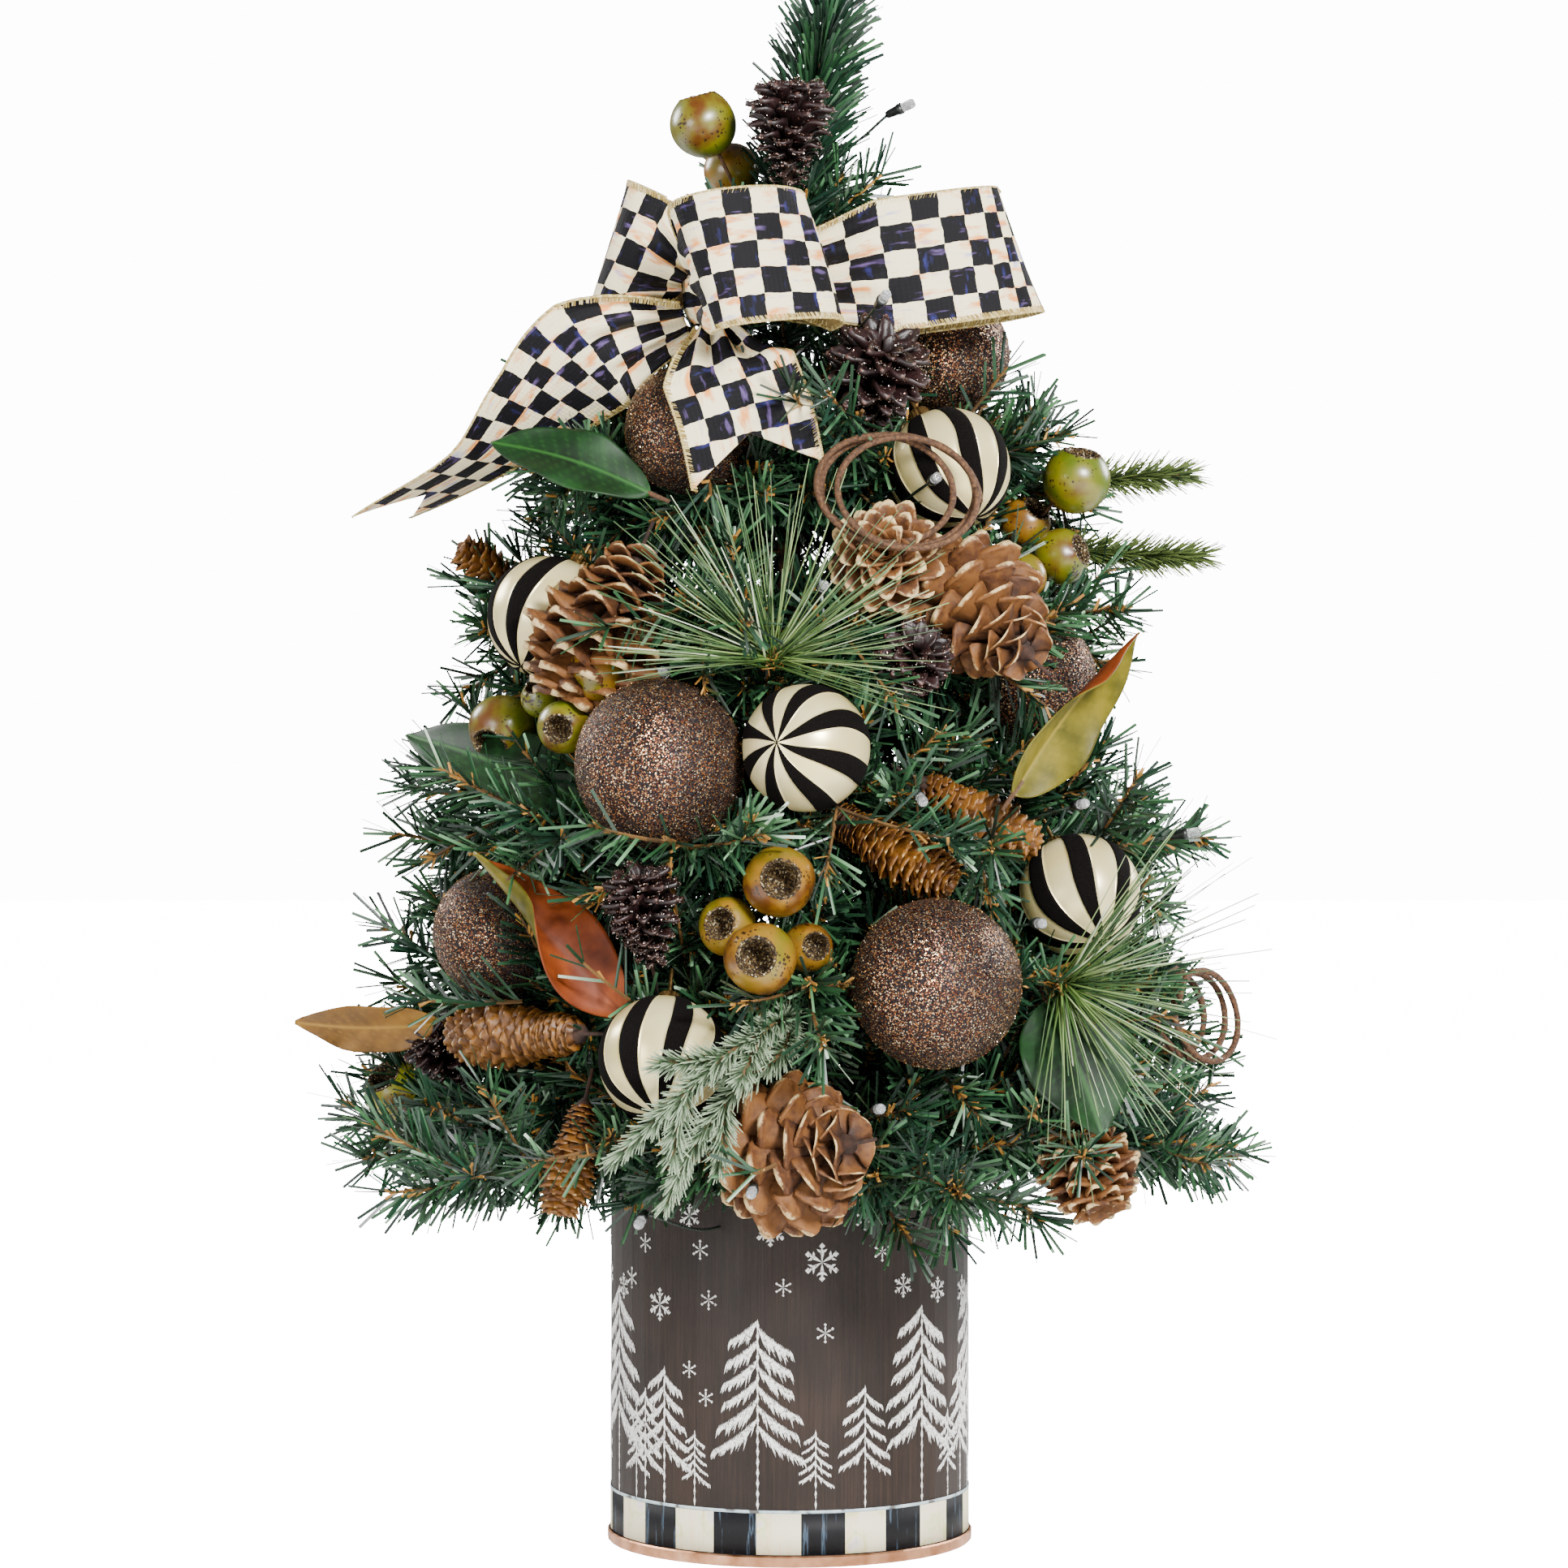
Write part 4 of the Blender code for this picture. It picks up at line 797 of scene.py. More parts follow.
needle = prism(3, 0.88)
rod = prism(4, 0.96)
for number, tier in enumerate(TIERS, 1):
    chance = random.Random(100 + number)
    draws = np.random.default_rng(200 + number)
    wires, sprigs = branch_sprigs(tier, chance)
    if tier is TIERS[0]:
        sprigs += [[start + (end - start) * step / 8 for step in range(9)] for start, end in HANGING]
    clear_wires = [clear_stretch(path) for path in wires]
    clear_sprigs = [path for path in map(clear_stretch, sprigs) if len(path) > 2]
    frames, tones = culled(*needle_frames(clear_sprigs, draws, NEEDLE_LENGTH, NEEDLES_PER_METRE))
    inner, inner_tones = culled(*needle_frames([path[1:9] for path in clear_wires], draws,
        NEEDLE_LENGTH * 1.15, 2600, (45, 85)))
    frames, tones = np.concatenate([frames, inner]), np.concatenate([tones, inner_tones])
    per_piece = 16000
    for part in range(0, len(frames), per_piece):
        made = planted(f"tier_{number}_needles_{part // per_piece + 1}", needle,
            frames[part:part + per_piece], pvc_green, tones=tones[part:part + per_piece])
        if part == 0:
            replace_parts(made, f"branch_tier_{number}")
    ends = [path[-3:] for path in clear_sprigs]
    bits, bit_tones = culled(*needle_frames(ends, draws, 0.0075, 420, (15, 60), 0.0015, 0.0006))
    bit_tones = 0.55 + 0.45 * bit_tones
    twigs = np.concatenate([stems(clear_wires, 0.0017), stems(clear_sprigs, 0.001), bits])
    shades = np.concatenate([draws.uniform(0.1, 0.5, len(twigs) - len(bits)), bit_tones])
    planted(f"tier_{number}_wires", rod, twigs, twig_brown, tones=shades)

# The leader: the top brush, its needles raised, over a crown of short sprigs that fills in behind the bow.
# angle round the pole in degrees, height of the root, rise in degrees, length
CROWN = [(20 + 137.5 * number, 0.545 + 0.0052 * number, 24 + 1.6 * number, 0.098 - 0.003 * number)
    for number in range(20)]
# the same for sprigs in the back that close the view between the tiers
BACKING = [(22 + 27 * (number * 5 % 6), 0.315 + 0.0135 * number, 8, 0.12 - 0.002 * number)
    for number in range(16)]
draws = np.random.default_rng(31)
foot_sprigs = [[LEADER_FOOT + Vector(offset) + Vector(reach) * step / 5 for step in range(6)]
    for offset, reach in (((0.0, -0.004, 0.01), (0.045, -0.02, 0.035)),
        ((0.0, 0.004, 0.004), (-0.03, 0.03, 0.05)), ((0.0, 0.0, 0.0), (0.03, 0.042, 0.028)),
        ((0.0, 0.0, -0.01), (-0.045, -0.012, 0.03)), ((0.0, 0.0, -0.02), (-0.016, -0.045, 0.03)))]
for degrees, height, rise, span in CROWN + BACKING:
    out = Vector((math.cos(math.radians(degrees)), math.sin(math.radians(degrees)),
        math.tan(math.radians(rise)))).normalized()
    start = Vector((0.0, 0.0, height)) + out * 0.005
    foot_sprigs.append([start + out * span * step / 6 for step in range(7)])
foot_sprigs = [path for path in map(clear_stretch, foot_sprigs) if len(path) > 2]
top_frames, top_tones = culled(*needle_frames([leader_path], draws, 0.0405, 6800, (28, 60)))
low_frames, low_tones = culled(*needle_frames(foot_sprigs, draws, 0.026, 1500))
planted("leader_needles", needle, np.concatenate([top_frames, low_frames]), pvc_green,
    tones=np.concatenate([top_tones, low_tones]))
bits, bit_tones = culled(*needle_frames([leader_path], draws, 0.008, 420, (20, 60), 0.0014, 0.0006))
twigs = np.concatenate([stems(foot_sprigs, 0.0011), bits])
planted("leader_wires", rod, twigs, twig_brown, tones=draws.uniform(0.2, 1.0, len(twigs)))

# ---- bow
# A bow of wired ribbon: three loops and two tails pinched into pleats at the knot. The ribbon is woven
# polyester printed with hand-painted checks, gold on the back, its wired edges overlocked in gold thread.

KNOT_LOW, KNOT_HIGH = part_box("bow_knot")
KNOT = (KNOT_LOW + KNOT_HIGH) / 2
RIBBON_WIDTH = 0.0635
CHECK = RIBBON_WIDTH / 5
PLEATS = 3

# outward direction, direction of the bulge, width direction, length, half bulge: as in the CAD
BOW_LOOPS = {
    "bow_loop_left": ((-0.86, 0.28, 0.42), (0.2, 0.98, 0.0), (0.28, 0.0, 0.96), 0.058, 0.02),
    "bow_loop_front": ((0.46, -0.87, 0.2), (0.9, 0.42, 0.1), (-0.3, 0.0, 0.95), 0.064, 0.034),
    "bow_loop_right": ((0.98, 0.11, 0.15), (-0.1, 1.0, 0.0), (-0.38, 0.0, 0.92), 0.15, 0.017),
}
# route of the middle of each tail from the knot, and the width direction at each point
BOW_TAILS = {
    "bow_tail_left": [
        ((-0.05, -0.086, 0.597), (-0.4, -0.3, 0.87)),
        ((-0.09, -0.086, 0.583), (-0.4, -0.45, 0.8)),
        ((-0.118, -0.074, 0.559), (-0.35, -0.75, 0.55)),
        ((-0.15, -0.056, 0.531), (-0.1, -0.95, 0.22)),
        ((-0.2, -0.034, 0.506), (0.0, -0.99, 0.12)),
    ],
    "bow_tail_front": [
        ((-0.036, -0.096, 0.594), (0.96, 0.1, -0.2)),
        ((-0.03, -0.11, 0.574), (0.97, -0.05, -0.15)),
        ((-0.021, -0.12, 0.548), (0.97, -0.1, -0.1)),
        ((-0.015, -0.124, 0.52), (0.97, -0.1, -0.08)),
    ],
}
TAIL_NOTCH = 0.02


def weave(made, across):
    """Bump of a plain weave, 0.35 mm from thread to thread, from coordinates in metres."""
    warp = add(made, "TexWave", {"Vector": across, "Scale": 140.0}, bands_direction="X")
    weft = add(made, "TexWave", {"Vector": across, "Scale": 140.0}, bands_direction="Y")
    both = add(made, "Math", {0: warp, 1: weft}, operation="ADD")
    return add(made, "Bump", {"Height": both, "Strength": 0.25, "Distance": 0.0003})


def checked_ribbon():
    """The printed face: ivory and ink-blue checks with wobbling edges and loose strokes of colour."""
    made, shader = finish("checked_ribbon", Roughness=0.75, Specular_IOR_Level=0.2)
    flat = add(made, "UVMap", uv_map="ribbon")
    squares = add(made, "Mapping", {"Vector": flat, "Scale": (1 / CHECK, 1 / CHECK, 1.0),
        "Location": (0.0, 2.5, 0.25)})
    wobble = add(made, "TexNoise", {"Vector": squares, "Scale": 1.6, "Detail": 3.0})
    shift = add(made, "VectorMath", {0: wobble.outputs[1], 1: (0.5, 0.5, 0.5)}, operation="SUBTRACT")
    small = add(made, "VectorMath", {0: shift, "Scale": 0.2}, operation="SCALE")
    painted = add(made, "VectorMath", {0: squares, 1: small}, operation="ADD")
    level = add(made, "VectorMath", {0: painted, 1: (1.0, 1.0, 0.0)}, operation="MULTIPLY")
    lifted = add(made, "VectorMath", {0: level, 1: (0.0, 0.0, 0.5)}, operation="ADD")
    checks = add(made, "TexChecker", {"Vector": lifted, "Scale": 1.0})

    def smear(offset, scale, low, high):
        """A mask of brush strokes that run along the ribbon."""
        drawn = add(made, "Mapping", {"Vector": squares, "Scale": scale, "Location": (offset, offset, 0.0)})
        brush = add(made, "TexNoise", {"Vector": drawn, "Scale": 1.0, "Detail": 4.0})
        return add(made, "MapRange", {"Value": brush, "From Min": low, "From Max": high})

    orange = smear(3.1, (0.8, 2.6, 1.0), 0.53, 0.66)
    lilac = smear(17.7, (0.8, 3.4, 1.0), 0.61, 0.72)
    blue = smear(9.4, (2.8, 0.9, 1.0), 0.6, 0.74)
    ivory = add(made, "Mix", {0: orange, 6: "F3E6BC", 7: "E8964E"})
    ivory = add(made, "Mix", {0: lilac, 6: ivory, 7: "A9A6CC"})
    ink = add(made, "Mix", {0: blue, 6: "08070B", 7: "26275C"})
    ink = add(made, "Mix", {0: lilac, 6: ink, 7: "54436E"})
    both = add(made, "Mix", {0: checks, 6: ivory, 7: ink})
    feed(made, shader, Base_Color=both, Normal=weave(made, flat))
    return made


def gold_back():
    """The reverse: a plain khaki-gold weave."""
    made, shader = finish("gold_ribbon_back", Roughness=0.55, Sheen_Weight=0.2)
    flat = add(made, "UVMap", uv_map="ribbon")
    slub = add(made, "TexNoise", {"Vector": flat, "Scale": 240.0, "Detail": 4.0})
    tone = add(made, "ValToRGB", {"Fac": slub}, stops=[(0.3, "7A6230"), (0.7, "A1864A")])
    feed(made, shader, Base_Color=tone, Normal=weave(made, flat))
    return made


gold_thread = toned("gold_thread", [(0.0, "7A6430"), (0.5, "B59D5C"), (1.0, "E0D19A")], Roughness=0.45,
    Metallic=0.15)
ribbon_face = checked_ribbon()
ribbon_back = gold_back()


def thicken(made, thickness):
    """Gives a sheet its thickness, with its second material on the back."""
    solid = made.modifiers.new("thickness", "SOLIDIFY")
    solid.thickness = thickness
    solid.offset = 0.0
    solid.material_offset = 1


def ribbon(name, centres, widths, gathered, notch=0.0, flipped=False):
    """A wired ribbon along the centres; where it is gathered it stands in pleats of its full width."""
    columns = 40
    rows = len(centres)
    runs = [0.0]
    for start, end in zip(centres, centres[1:]):
        runs.append(runs[-1] + (end - start).length)
    length = runs[-1]

    def place(share, column):
        """A point of the ribbon: share of its length, and column from one edge to the other."""
        across_share = column / columns * 2 - 1
        share = share * (1.0 - notch / length * (1.0 - abs(across_share))) if notch else share
        at = min(share * (rows - 1), rows - 1.000001)
        index = int(at)
        part = at - index
        centre = centres[index].lerp(centres[index + 1], part)
        along = (centres[min(index + 2, rows - 1)] - centres[max(index - 1, 0)]).normalized()
        width = widths[index].lerp(widths[index + 1], part)
        across = (width - width.project(along)).normalized()
        over = along.cross(across)
        pinch = gathered[index] + (gathered[index + 1] - gathered[index]) * part
        fold = math.sqrt(max(1 / pinch - 1, 0)) * RIBBON_WIDTH * pinch / (math.pi * PLEATS)
        wave = math.sin(math.pi * PLEATS * across_share + 0.6) * fold
        fade = math.sin(math.pi * min(share * 1.5, 1.0))
        ripple = 0.0011 * math.sin(share * 17.0 + across_share * 1.7) * fade
        spot = centre + across * (RIBBON_WIDTH / 2 * pinch * across_share) + over * (wave + ripple)
        return spot, share * length, along, across, over

    bm = bmesh.new()
    flat = bm.loops.layers.uv.new("ribbon")
    grid = [[place(row / (rows - 1), column) for column in range(columns + 1)] for row in range(rows)]
    verts = [[bm.verts.new(cell[0]) for cell in line] for line in grid]
    for row in range(rows - 1):
        for column in range(columns):
            corners = ((row, column), (row, column + 1), (row + 1, column + 1), (row + 1, column))
            face = bm.faces.new([verts[r][c] for r, c in corners])
            for loop, (r, c) in zip(face.loops, corners):
                loop[flat].uv = (grid[r][c][1], (c / columns - 0.5) * RIBBON_WIDTH)
    sides = (ribbon_back, ribbon_face) if flipped else (ribbon_face, ribbon_back)
    made = keep(bm, name + "_ribbon", *sides, smooth=True)
    thicken(made, 0.0004)
    spots, headings, tones = [], [], []
    draws = np.random.default_rng(len(name))
    for column, inward in ((0, 1.0), (columns, -1.0)):
        count = int(length / 0.0011)
        for number in range(count):
            spot, _, along, across, _ = place((number + 0.5) / count, column)
            headings.append((across * inward + along * draws.uniform(0.35, 0.7)).normalized())
            spots.append(spot - across * inward * 0.0006)
            tones.append(draws.uniform(0.15, 1.0))
    frames = frames_along(np.array(spots), np.array(headings), 0.0034, 0.0009, 0.0009, 0.0)
    thread = planted(name + "_overlock", prism(4, 0.9), frames, gold_thread, tones=np.array(tones))
    edges = np.concatenate([stems([[place(step / 90, column)[0] for step in range(91)]], 0.0008)
        for column in (0, columns)])
    wire = planted(name + "_edge_wire", prism(6, 1.0), edges, gold_thread,
        tones=np.tile([0.45, 0.75], len(edges))[:len(edges)], smooth=True)
    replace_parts(made, name)


# The knot: a short crosswise wrap of the same ribbon, pulled into upright pleats.
bm = bmesh.new()
bmesh.ops.create_uvsphere(bm, u_segments=72, v_segments=36, radius=1.0)
flat = bm.loops.layers.uv.new("ribbon")
half = (KNOT_HIGH - KNOT_LOW) / 2
for face in bm.faces:
    for loop in face.loops:
        spot = loop.vert.co
        turn = math.atan2(spot.y, spot.x)
        if turn < -3.0 and face.calc_center_median().y > 0:
            turn += 2 * math.pi
        loop[flat].uv = (spot.z * 0.03, turn * 0.01)
for vert in bm.verts:
    turn = math.atan2(vert.co.y, vert.co.x)
    pleat = 1.0 + 0.07 * math.sin(turn * 11) * (1 - abs(vert.co.z)) ** 0.5
    barrel = (1 - abs(vert.co.z) ** 3.5) ** 0.5 if abs(vert.co.z) < 1 else 0.0
    flat_reach = math.hypot(vert.co.x, vert.co.y)
    widen = barrel / flat_reach if flat_reach > 1e-4 else 1.0
    vert.co = Vector((vert.co.x * widen * pleat * half.x, vert.co.y * widen * pleat * half.y,
        vert.co.z * half.z * 0.95))
    vert.co += KNOT
wrap = keep(bm, "bow_knot_wrap", ribbon_face, smooth=True)
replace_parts(wrap, "bow_knot")

for name, (outward, bulge, width, length, half_bulge) in BOW_LOOPS.items():
    outward = Vector(outward).normalized()
    bulge = Vector(bulge)
    bulge = (bulge - bulge.project(outward)).normalized()
    rows = 80
    start = 0.013 * 1.05 / (math.pi * length)
    centres, gathered = [], []
    for step in range(rows + 1):
        t = start + (1 - 2 * start) * step / rows
        aside = bulge * half_bulge * math.sin(2 * math.pi * t)
        centres.append(KNOT + outward * length * math.sin(math.pi * t) + aside)
        gathered.append(min(1.0, 0.35 + 4.0 * min(step, rows - step) / rows))
    ribbon(name, centres, [Vector(width)] * (rows + 1), gathered, flipped=name == "bow_loop_left")
for name, route in BOW_TAILS.items():
    per_span = 18
    centres = smooth_path([point for point, _ in route], per_span)
    widths = smooth_path([width for _, width in route], per_span)
    gathered = [min(1.0, 0.3 + 0.16 * 4 * step / per_span) for step in range(len(centres))]
    ribbon(name, centres, widths, gathered, notch=TAIL_NOTCH, flipped=name == "bow_tail_front")

# ---- glitter balls
# Blown plastic balls coated in loose copper, gold and silver glitter over a dark brown ground, each hung
# from a fluted metal cap on a wire pick. The larger flakes stand off the surface.


def corners_of(node_name):
    """The vertices of a CAD node as an array."""
    return values_of(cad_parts[node_name].data.vertices, "co", width=3).reshape(-1, 3)


def ball_of(node_name):
    """The centre and radius of a CAD ball, and the direction of its cap."""
    corners = corners_of(node_name)
    fit = corners
    for _ in range(6):
        table = np.hstack([2 * fit, np.ones((len(fit), 1))])
        solved = np.linalg.lstsq(table, (fit ** 2).sum(axis=1), rcond=None)[0]
        centre = solved[:3]
        radius = math.sqrt(solved[3] + centre @ centre)
        off = np.abs(np.linalg.norm(corners - centre, axis=1) - radius)
        fit = corners[off < max(0.0002, np.median(off) * 2)]
    far = corners[np.argmax(np.linalg.norm(corners - centre, axis=1))]
    return Vector(centre), radius, (Vector(far) - Vector(centre)).normalized()


def facing(direction):
    """A rotation that turns local +Z to the direction."""
    return Vector(direction).to_track_quat("Z", "Y").to_matrix().to_4x4()


# Glitter: small cells, each its own colour and its own tilt, over a darker ground.
glitter_coat, shader = finish("glitter_coat")
place = add(glitter_coat, "TexCoord")
cells = add(glitter_coat, "TexVoronoi", {"Vector": place, "Scale": 1 / 0.00048})
split = add(glitter_coat, "SeparateColor", {"Color": cells.outputs["Color"]})
tone = add(glitter_coat, "ValToRGB", {"Fac": split}, stops=[(0.0, "0A0406"), (0.52, "1A0B0E"),
    (0.66, "3A1B16"), (0.76, "7A4428"), (0.86, "B57C48"), (0.94, "E4CBA2")])
tone.color_ramp.interpolation = "CONSTANT"
centred = add(glitter_coat, "VectorMath", {0: cells.outputs["Color"], 1: (0.5, 0.5, 0.5)},
    operation="SUBTRACT")
tilt = add(glitter_coat, "VectorMath", {0: centred, "Scale": 0.75}, operation="SCALE")
surface = add(glitter_coat, "NewGeometry")
leaning = add(glitter_coat, "VectorMath", {0: surface.outputs["Normal"], 1: tilt}, operation="ADD")
unit = add(glitter_coat, "VectorMath", {0: leaning}, operation="NORMALIZE")
flake = add(glitter_coat, "Math", {0: split, 1: 0.46}, operation="GREATER_THAN")
metal = add(glitter_coat, "Math", {0: flake, 1: 0.75}, operation="MULTIPLY")
rough = add(glitter_coat, "MapRange", {"Value": flake, "To Min": 0.8, "To Max": 0.35})
feed(glitter_coat, shader, Base_Color=tone, Normal=unit, Metallic=metal, Roughness=rough)
flake_metal = toned("glitter_flakes", [(0.0, "28140F"), (0.35, "5A301C"), (0.62, "9C6634"), (0.82, "D2A260"),
    (1.0, "F4E8D0")], Metallic=1.0, Roughness=0.3)
cap_metal = mottled("cap_metal", 400.0, 2.0, [(0.3, "8C6B3E"), (0.7, "B8945C")], Metallic=1.0, Roughness=0.35)


def hang_cap(name, centre, radius, up):
    """A fluted cap on the ball's top and the wire that goes back into the tree."""
    bm = bmesh.new()
    cap = 0.0055
    foot = math.sqrt(radius ** 2 - cap ** 2) - 0.0006
    flutes = 18
    outline = [(foot, cap * 1.06), (foot + 0.0016, cap), (foot + 0.0062, cap * 0.94),
        (foot + 0.0072, cap * 0.8)]
    rings = []
    for height, reach in outline:
        ring = []
        for side in range(flutes * 2):
            angle = math.pi * side / flutes
            flute = reach * (1.0 + (0.06 if side % 2 else -0.02) * (height < foot + 0.007))
            ring.append(bm.verts.new((flute * math.cos(angle), flute * math.sin(angle), height)))
        rings.append(ring)
    skinned(bm, rings)
    bm.faces.new(rings[0][::-1])
    bm.faces.new(rings[-1])
    bmesh.ops.create_cone(bm, cap_ends=True, segments=10, radius1=0.001, radius2=0.001, depth=0.0155,
        matrix=Matrix.Translation((0.0, 0.0, foot + 0.0072 + 0.007)))
    bmesh.ops.transform(bm, verts=bm.verts, matrix=Matrix.Translation(centre) @ facing(up))
    made = keep(bm, name + "_cap", cap_metal)


flake = prism(3, 0.9)
for number in range(1, 7):
    name = f"glitter_ball_{number}"
    centre, radius, up = ball_of(name)
    bm = bmesh.new()
    bmesh.ops.create_icosphere(bm, subdivisions=5, radius=radius - 0.0002, matrix=Matrix.Translation(centre))
    made = keep(bm, name + "_coat", glitter_coat, smooth=True)
    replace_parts(made, name)
    draws = np.random.default_rng(number)
    count = int(4 * math.pi * radius ** 2 / 0.0000033)
    normals = draws.normal(0, 1, (count, 3))
    normals /= np.linalg.norm(normals, axis=1, keepdims=True)
    normals = normals[normals @ np.array(up) < 0.97]
    tilted = normals + draws.normal(0, 0.22, normals.shape)
    spots = np.array(centre) + normals * (radius - 0.00022)
    size = draws.uniform(0.0003, 0.00052, len(normals))
    frames = frames_along(spots, tilted, 0.0003, size, size, draws.uniform(0, 6, len(normals)))
    planted(name + "_flakes", flake, frames, flake_metal, tones=draws.uniform(0, 1, len(normals)))
    hang_cap(name, centre, radius, up)

# ---- striped balls
# Satin ivory balls with eight flocked black-brown stripes that taper from the middle to a point at each
# pole, painted by hand so that their edges waver a little.

ivory_satin = mottled("ivory_satin", 45.0, 4.0, [(0.3, "E4D08A"), (0.7, "F2E4AE")], (0.08, 0.0002),
    (1800.0, 2.0), Roughness=0.3, Metallic=0.35, Coat_Weight=0.2, Coat_Roughness=0.25)
flocking = mottled("black_flocking", 1500.0, 3.0, [(0.3, "030202"), (0.7, "0E0A08")], (0.8, 0.0004),
    Roughness=0.95, Specular_IOR_Level=0.1)

STRIPES = 8
STRIPE_STEPS = 14  # segments of the ball to each stripe and the gap beside it
STRIPE_HALF = 3.4  # segments to each side of a stripe's middle
for number in range(1, 6):
    name = f"striped_ball_{number}"
    centre, radius, up = ball_of(name)
    bm = bmesh.new()
    segments, rings = STRIPES * STRIPE_STEPS, 48
    bmesh.ops.create_uvsphere(bm, u_segments=segments, v_segments=rings, radius=radius - 0.0004)
    painted = []
    for face in bm.faces:
        middle = face.calc_center_median()
        place_round = (math.atan2(middle.y, middle.x) / (2 * math.pi) * segments) % STRIPE_STEPS
        if abs(place_round - STRIPE_STEPS / 2) < STRIPE_HALF or abs(middle.z) > 0.9975 * radius:
            painted.append(face)
    for vert in bm.verts:
        fall = math.acos(max(-1.0, min(1.0, vert.co.z / radius)))
        wander = noise.noise(vert.co * 45 + Vector((number * 7.0, 0, 0))) * 0.05 + 0.1 * math.sin(2.0 * fall)
        vert.co = Matrix.Rotation(wander, 3, "Z") @ vert.co
    raised = bmesh.ops.extrude_face_region(bm, geom=painted)
    for vert in [item for item in raised["geom"] if isinstance(item, bmesh.types.BMVert)]:
        vert.co *= radius / (radius - 0.0004)
    for face in [item for item in raised["geom"] if isinstance(item, bmesh.types.BMFace)]:
        face.material_index = 1
        for edge in face.edges:
            for beside in edge.link_faces:
                if beside.material_index == 0:
                    middle = beside.calc_center_median()
                    if abs(beside.normal.dot(middle.normalized())) < 0.5:
                        beside.material_index = 1
    bmesh.ops.delete(bm, geom=[face for face in painted if face.is_valid], context="FACES_ONLY")
    bmesh.ops.recalc_face_normals(bm, faces=bm.faces)
    bmesh.ops.transform(bm, verts=bm.verts, matrix=Matrix.Translation(centre) @ facing(up))
    made = keep(bm, name + "_paint", ivory_satin, flocking, smooth=True)
    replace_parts(made, name)
    hang_cap(name, centre, radius, up)

# ---- open pine cones
# Real pine cones with their scales open: woody spoon-shaped scales in a spiral round a dark core, orange
# brown with a paler, whitewashed margin. Each is wired at its base.


def scale_shape(outline, columns, cup, recurve, thick):
    """A cone scale one unit long along +Z and one wide: outline gives its half width at each place along
    it; its inner face looks along +Y. The attribute rim runs from 0 in the middle to 1 at the margin."""
    bm = bmesh.new()
    grid = []
    for share, half in outline:
        line = []
        for column in range(columns + 1):
            across = column / columns * 2 - 1
            height = cup * (half * across * 2) ** 2 + 0.1 * math.sin(math.pi * share) - recurve * share ** 3
            line.append(bm.verts.new((half * across, height, share - 0.06 * share ** 4 * across * across)))
        grid.append(line)
    skinned(bm, grid, closed=False)
    bmesh.ops.recalc_face_normals(bm, faces=bm.faces)
    bmesh.ops.solidify(bm, geom=bm.faces[:], thickness=thick)
    bmesh.ops.recalc_face_normals(bm, faces=bm.faces)
    mesh = mesh_of(bm, "cone_scale")
    rim = mesh.attributes.new("rim", "FLOAT", "POINT")
    for index, vert in enumerate(mesh.vertices):
        along = max(0.0, min(1.0, vert.co.z))
        half = float(np.interp(along, [place for place, _ in outline], [half for _, half in outline]))
        side = min(1.0, abs(vert.co.x) / max(half, 0.1))
        rim.data[index].value = max(along ** 3, side ** 3 * along * 0.98)
    return mesh


def cone_of(node_name, stem=0.015):
    """The middle, tip direction, length and radius of a CAD cone that has a wire stem of this length."""
    corners = corners_of(node_name)
    mean = corners.mean(axis=0)
    end = corners[np.argmax(np.linalg.norm(corners - mean, axis=1))]
    axis = mean - end
    axis /= np.linalg.norm(axis)
    along = (corners - end) @ axis
    radius = np.linalg.norm(corners - end - np.outer(along, axis), axis=1).max()
    length = along.max() - stem
    return Vector(end + axis * (stem + length / 2)), Vector(axis), length, radius


def cone_scales(middle, axis, length, radius, count, core, opening, fullness, width, seed, overhang=1.0):
    """Placing matrices of a cone's scales, base to tip, in a golden-angle spiral.
    opening is the angle of the scales from the axis at the base and at the tip, in degrees."""
    draws = np.random.default_rng(seed)
    share = (np.arange(count) + 0.5) / count
    place = 1.0 - share
    outline = radius * np.sin(np.pi * np.minimum(place, 0.97) ** fullness) ** 0.7
    outline = np.maximum(outline, radius * 0.32)
    inner = core * radius * (1.0 - 0.75 * share) * np.clip(0.35 + share * 6, 0, 1)
    angle = np.radians(opening[0] + (opening[1] - opening[0]) * share ** 0.8 + draws.normal(0, 3, count))
    reach = np.clip((outline - inner) / np.maximum(np.sin(angle), 0.42), radius * 0.3,
        radius * 1.15) * overhang
    around = np.arange(count) * math.radians(137.508) + draws.normal(0, 0.05, count)
    turn = np.array(facing(axis).to_3x3())
    out = np.stack([np.cos(around), np.sin(around), np.zeros(count)], axis=1) @ turn.T
    up = np.tile(np.array(axis), (count, 1))
    base = share ** 0.92 * length * 0.92 - length / 2 + length * 0.03
    level = base - np.cos(angle) * reach * 0.35
    origins = np.array(middle) + up * level[:, None] + out * inner[:, None] * 0.6
    heading = up * np.cos(angle)[:, None] + out * np.sin(angle)[:, None]
    inward = up * np.sin(angle)[:, None] - out * np.cos(angle)[:, None]
    sideways = np.cross(inward, heading)
    swell = 0.62 + 0.38 * np.sin(np.pi * np.clip(place * 0.9 + 0.05, 0, 1))
    wide = width * radius * swell * draws.uniform(0.9, 1.1, count)
    return np.stack([sideways * wide[:, None], inward * reach[:, None], heading * reach[:, None], origins],
        axis=2), draws.uniform(0, 1, count)


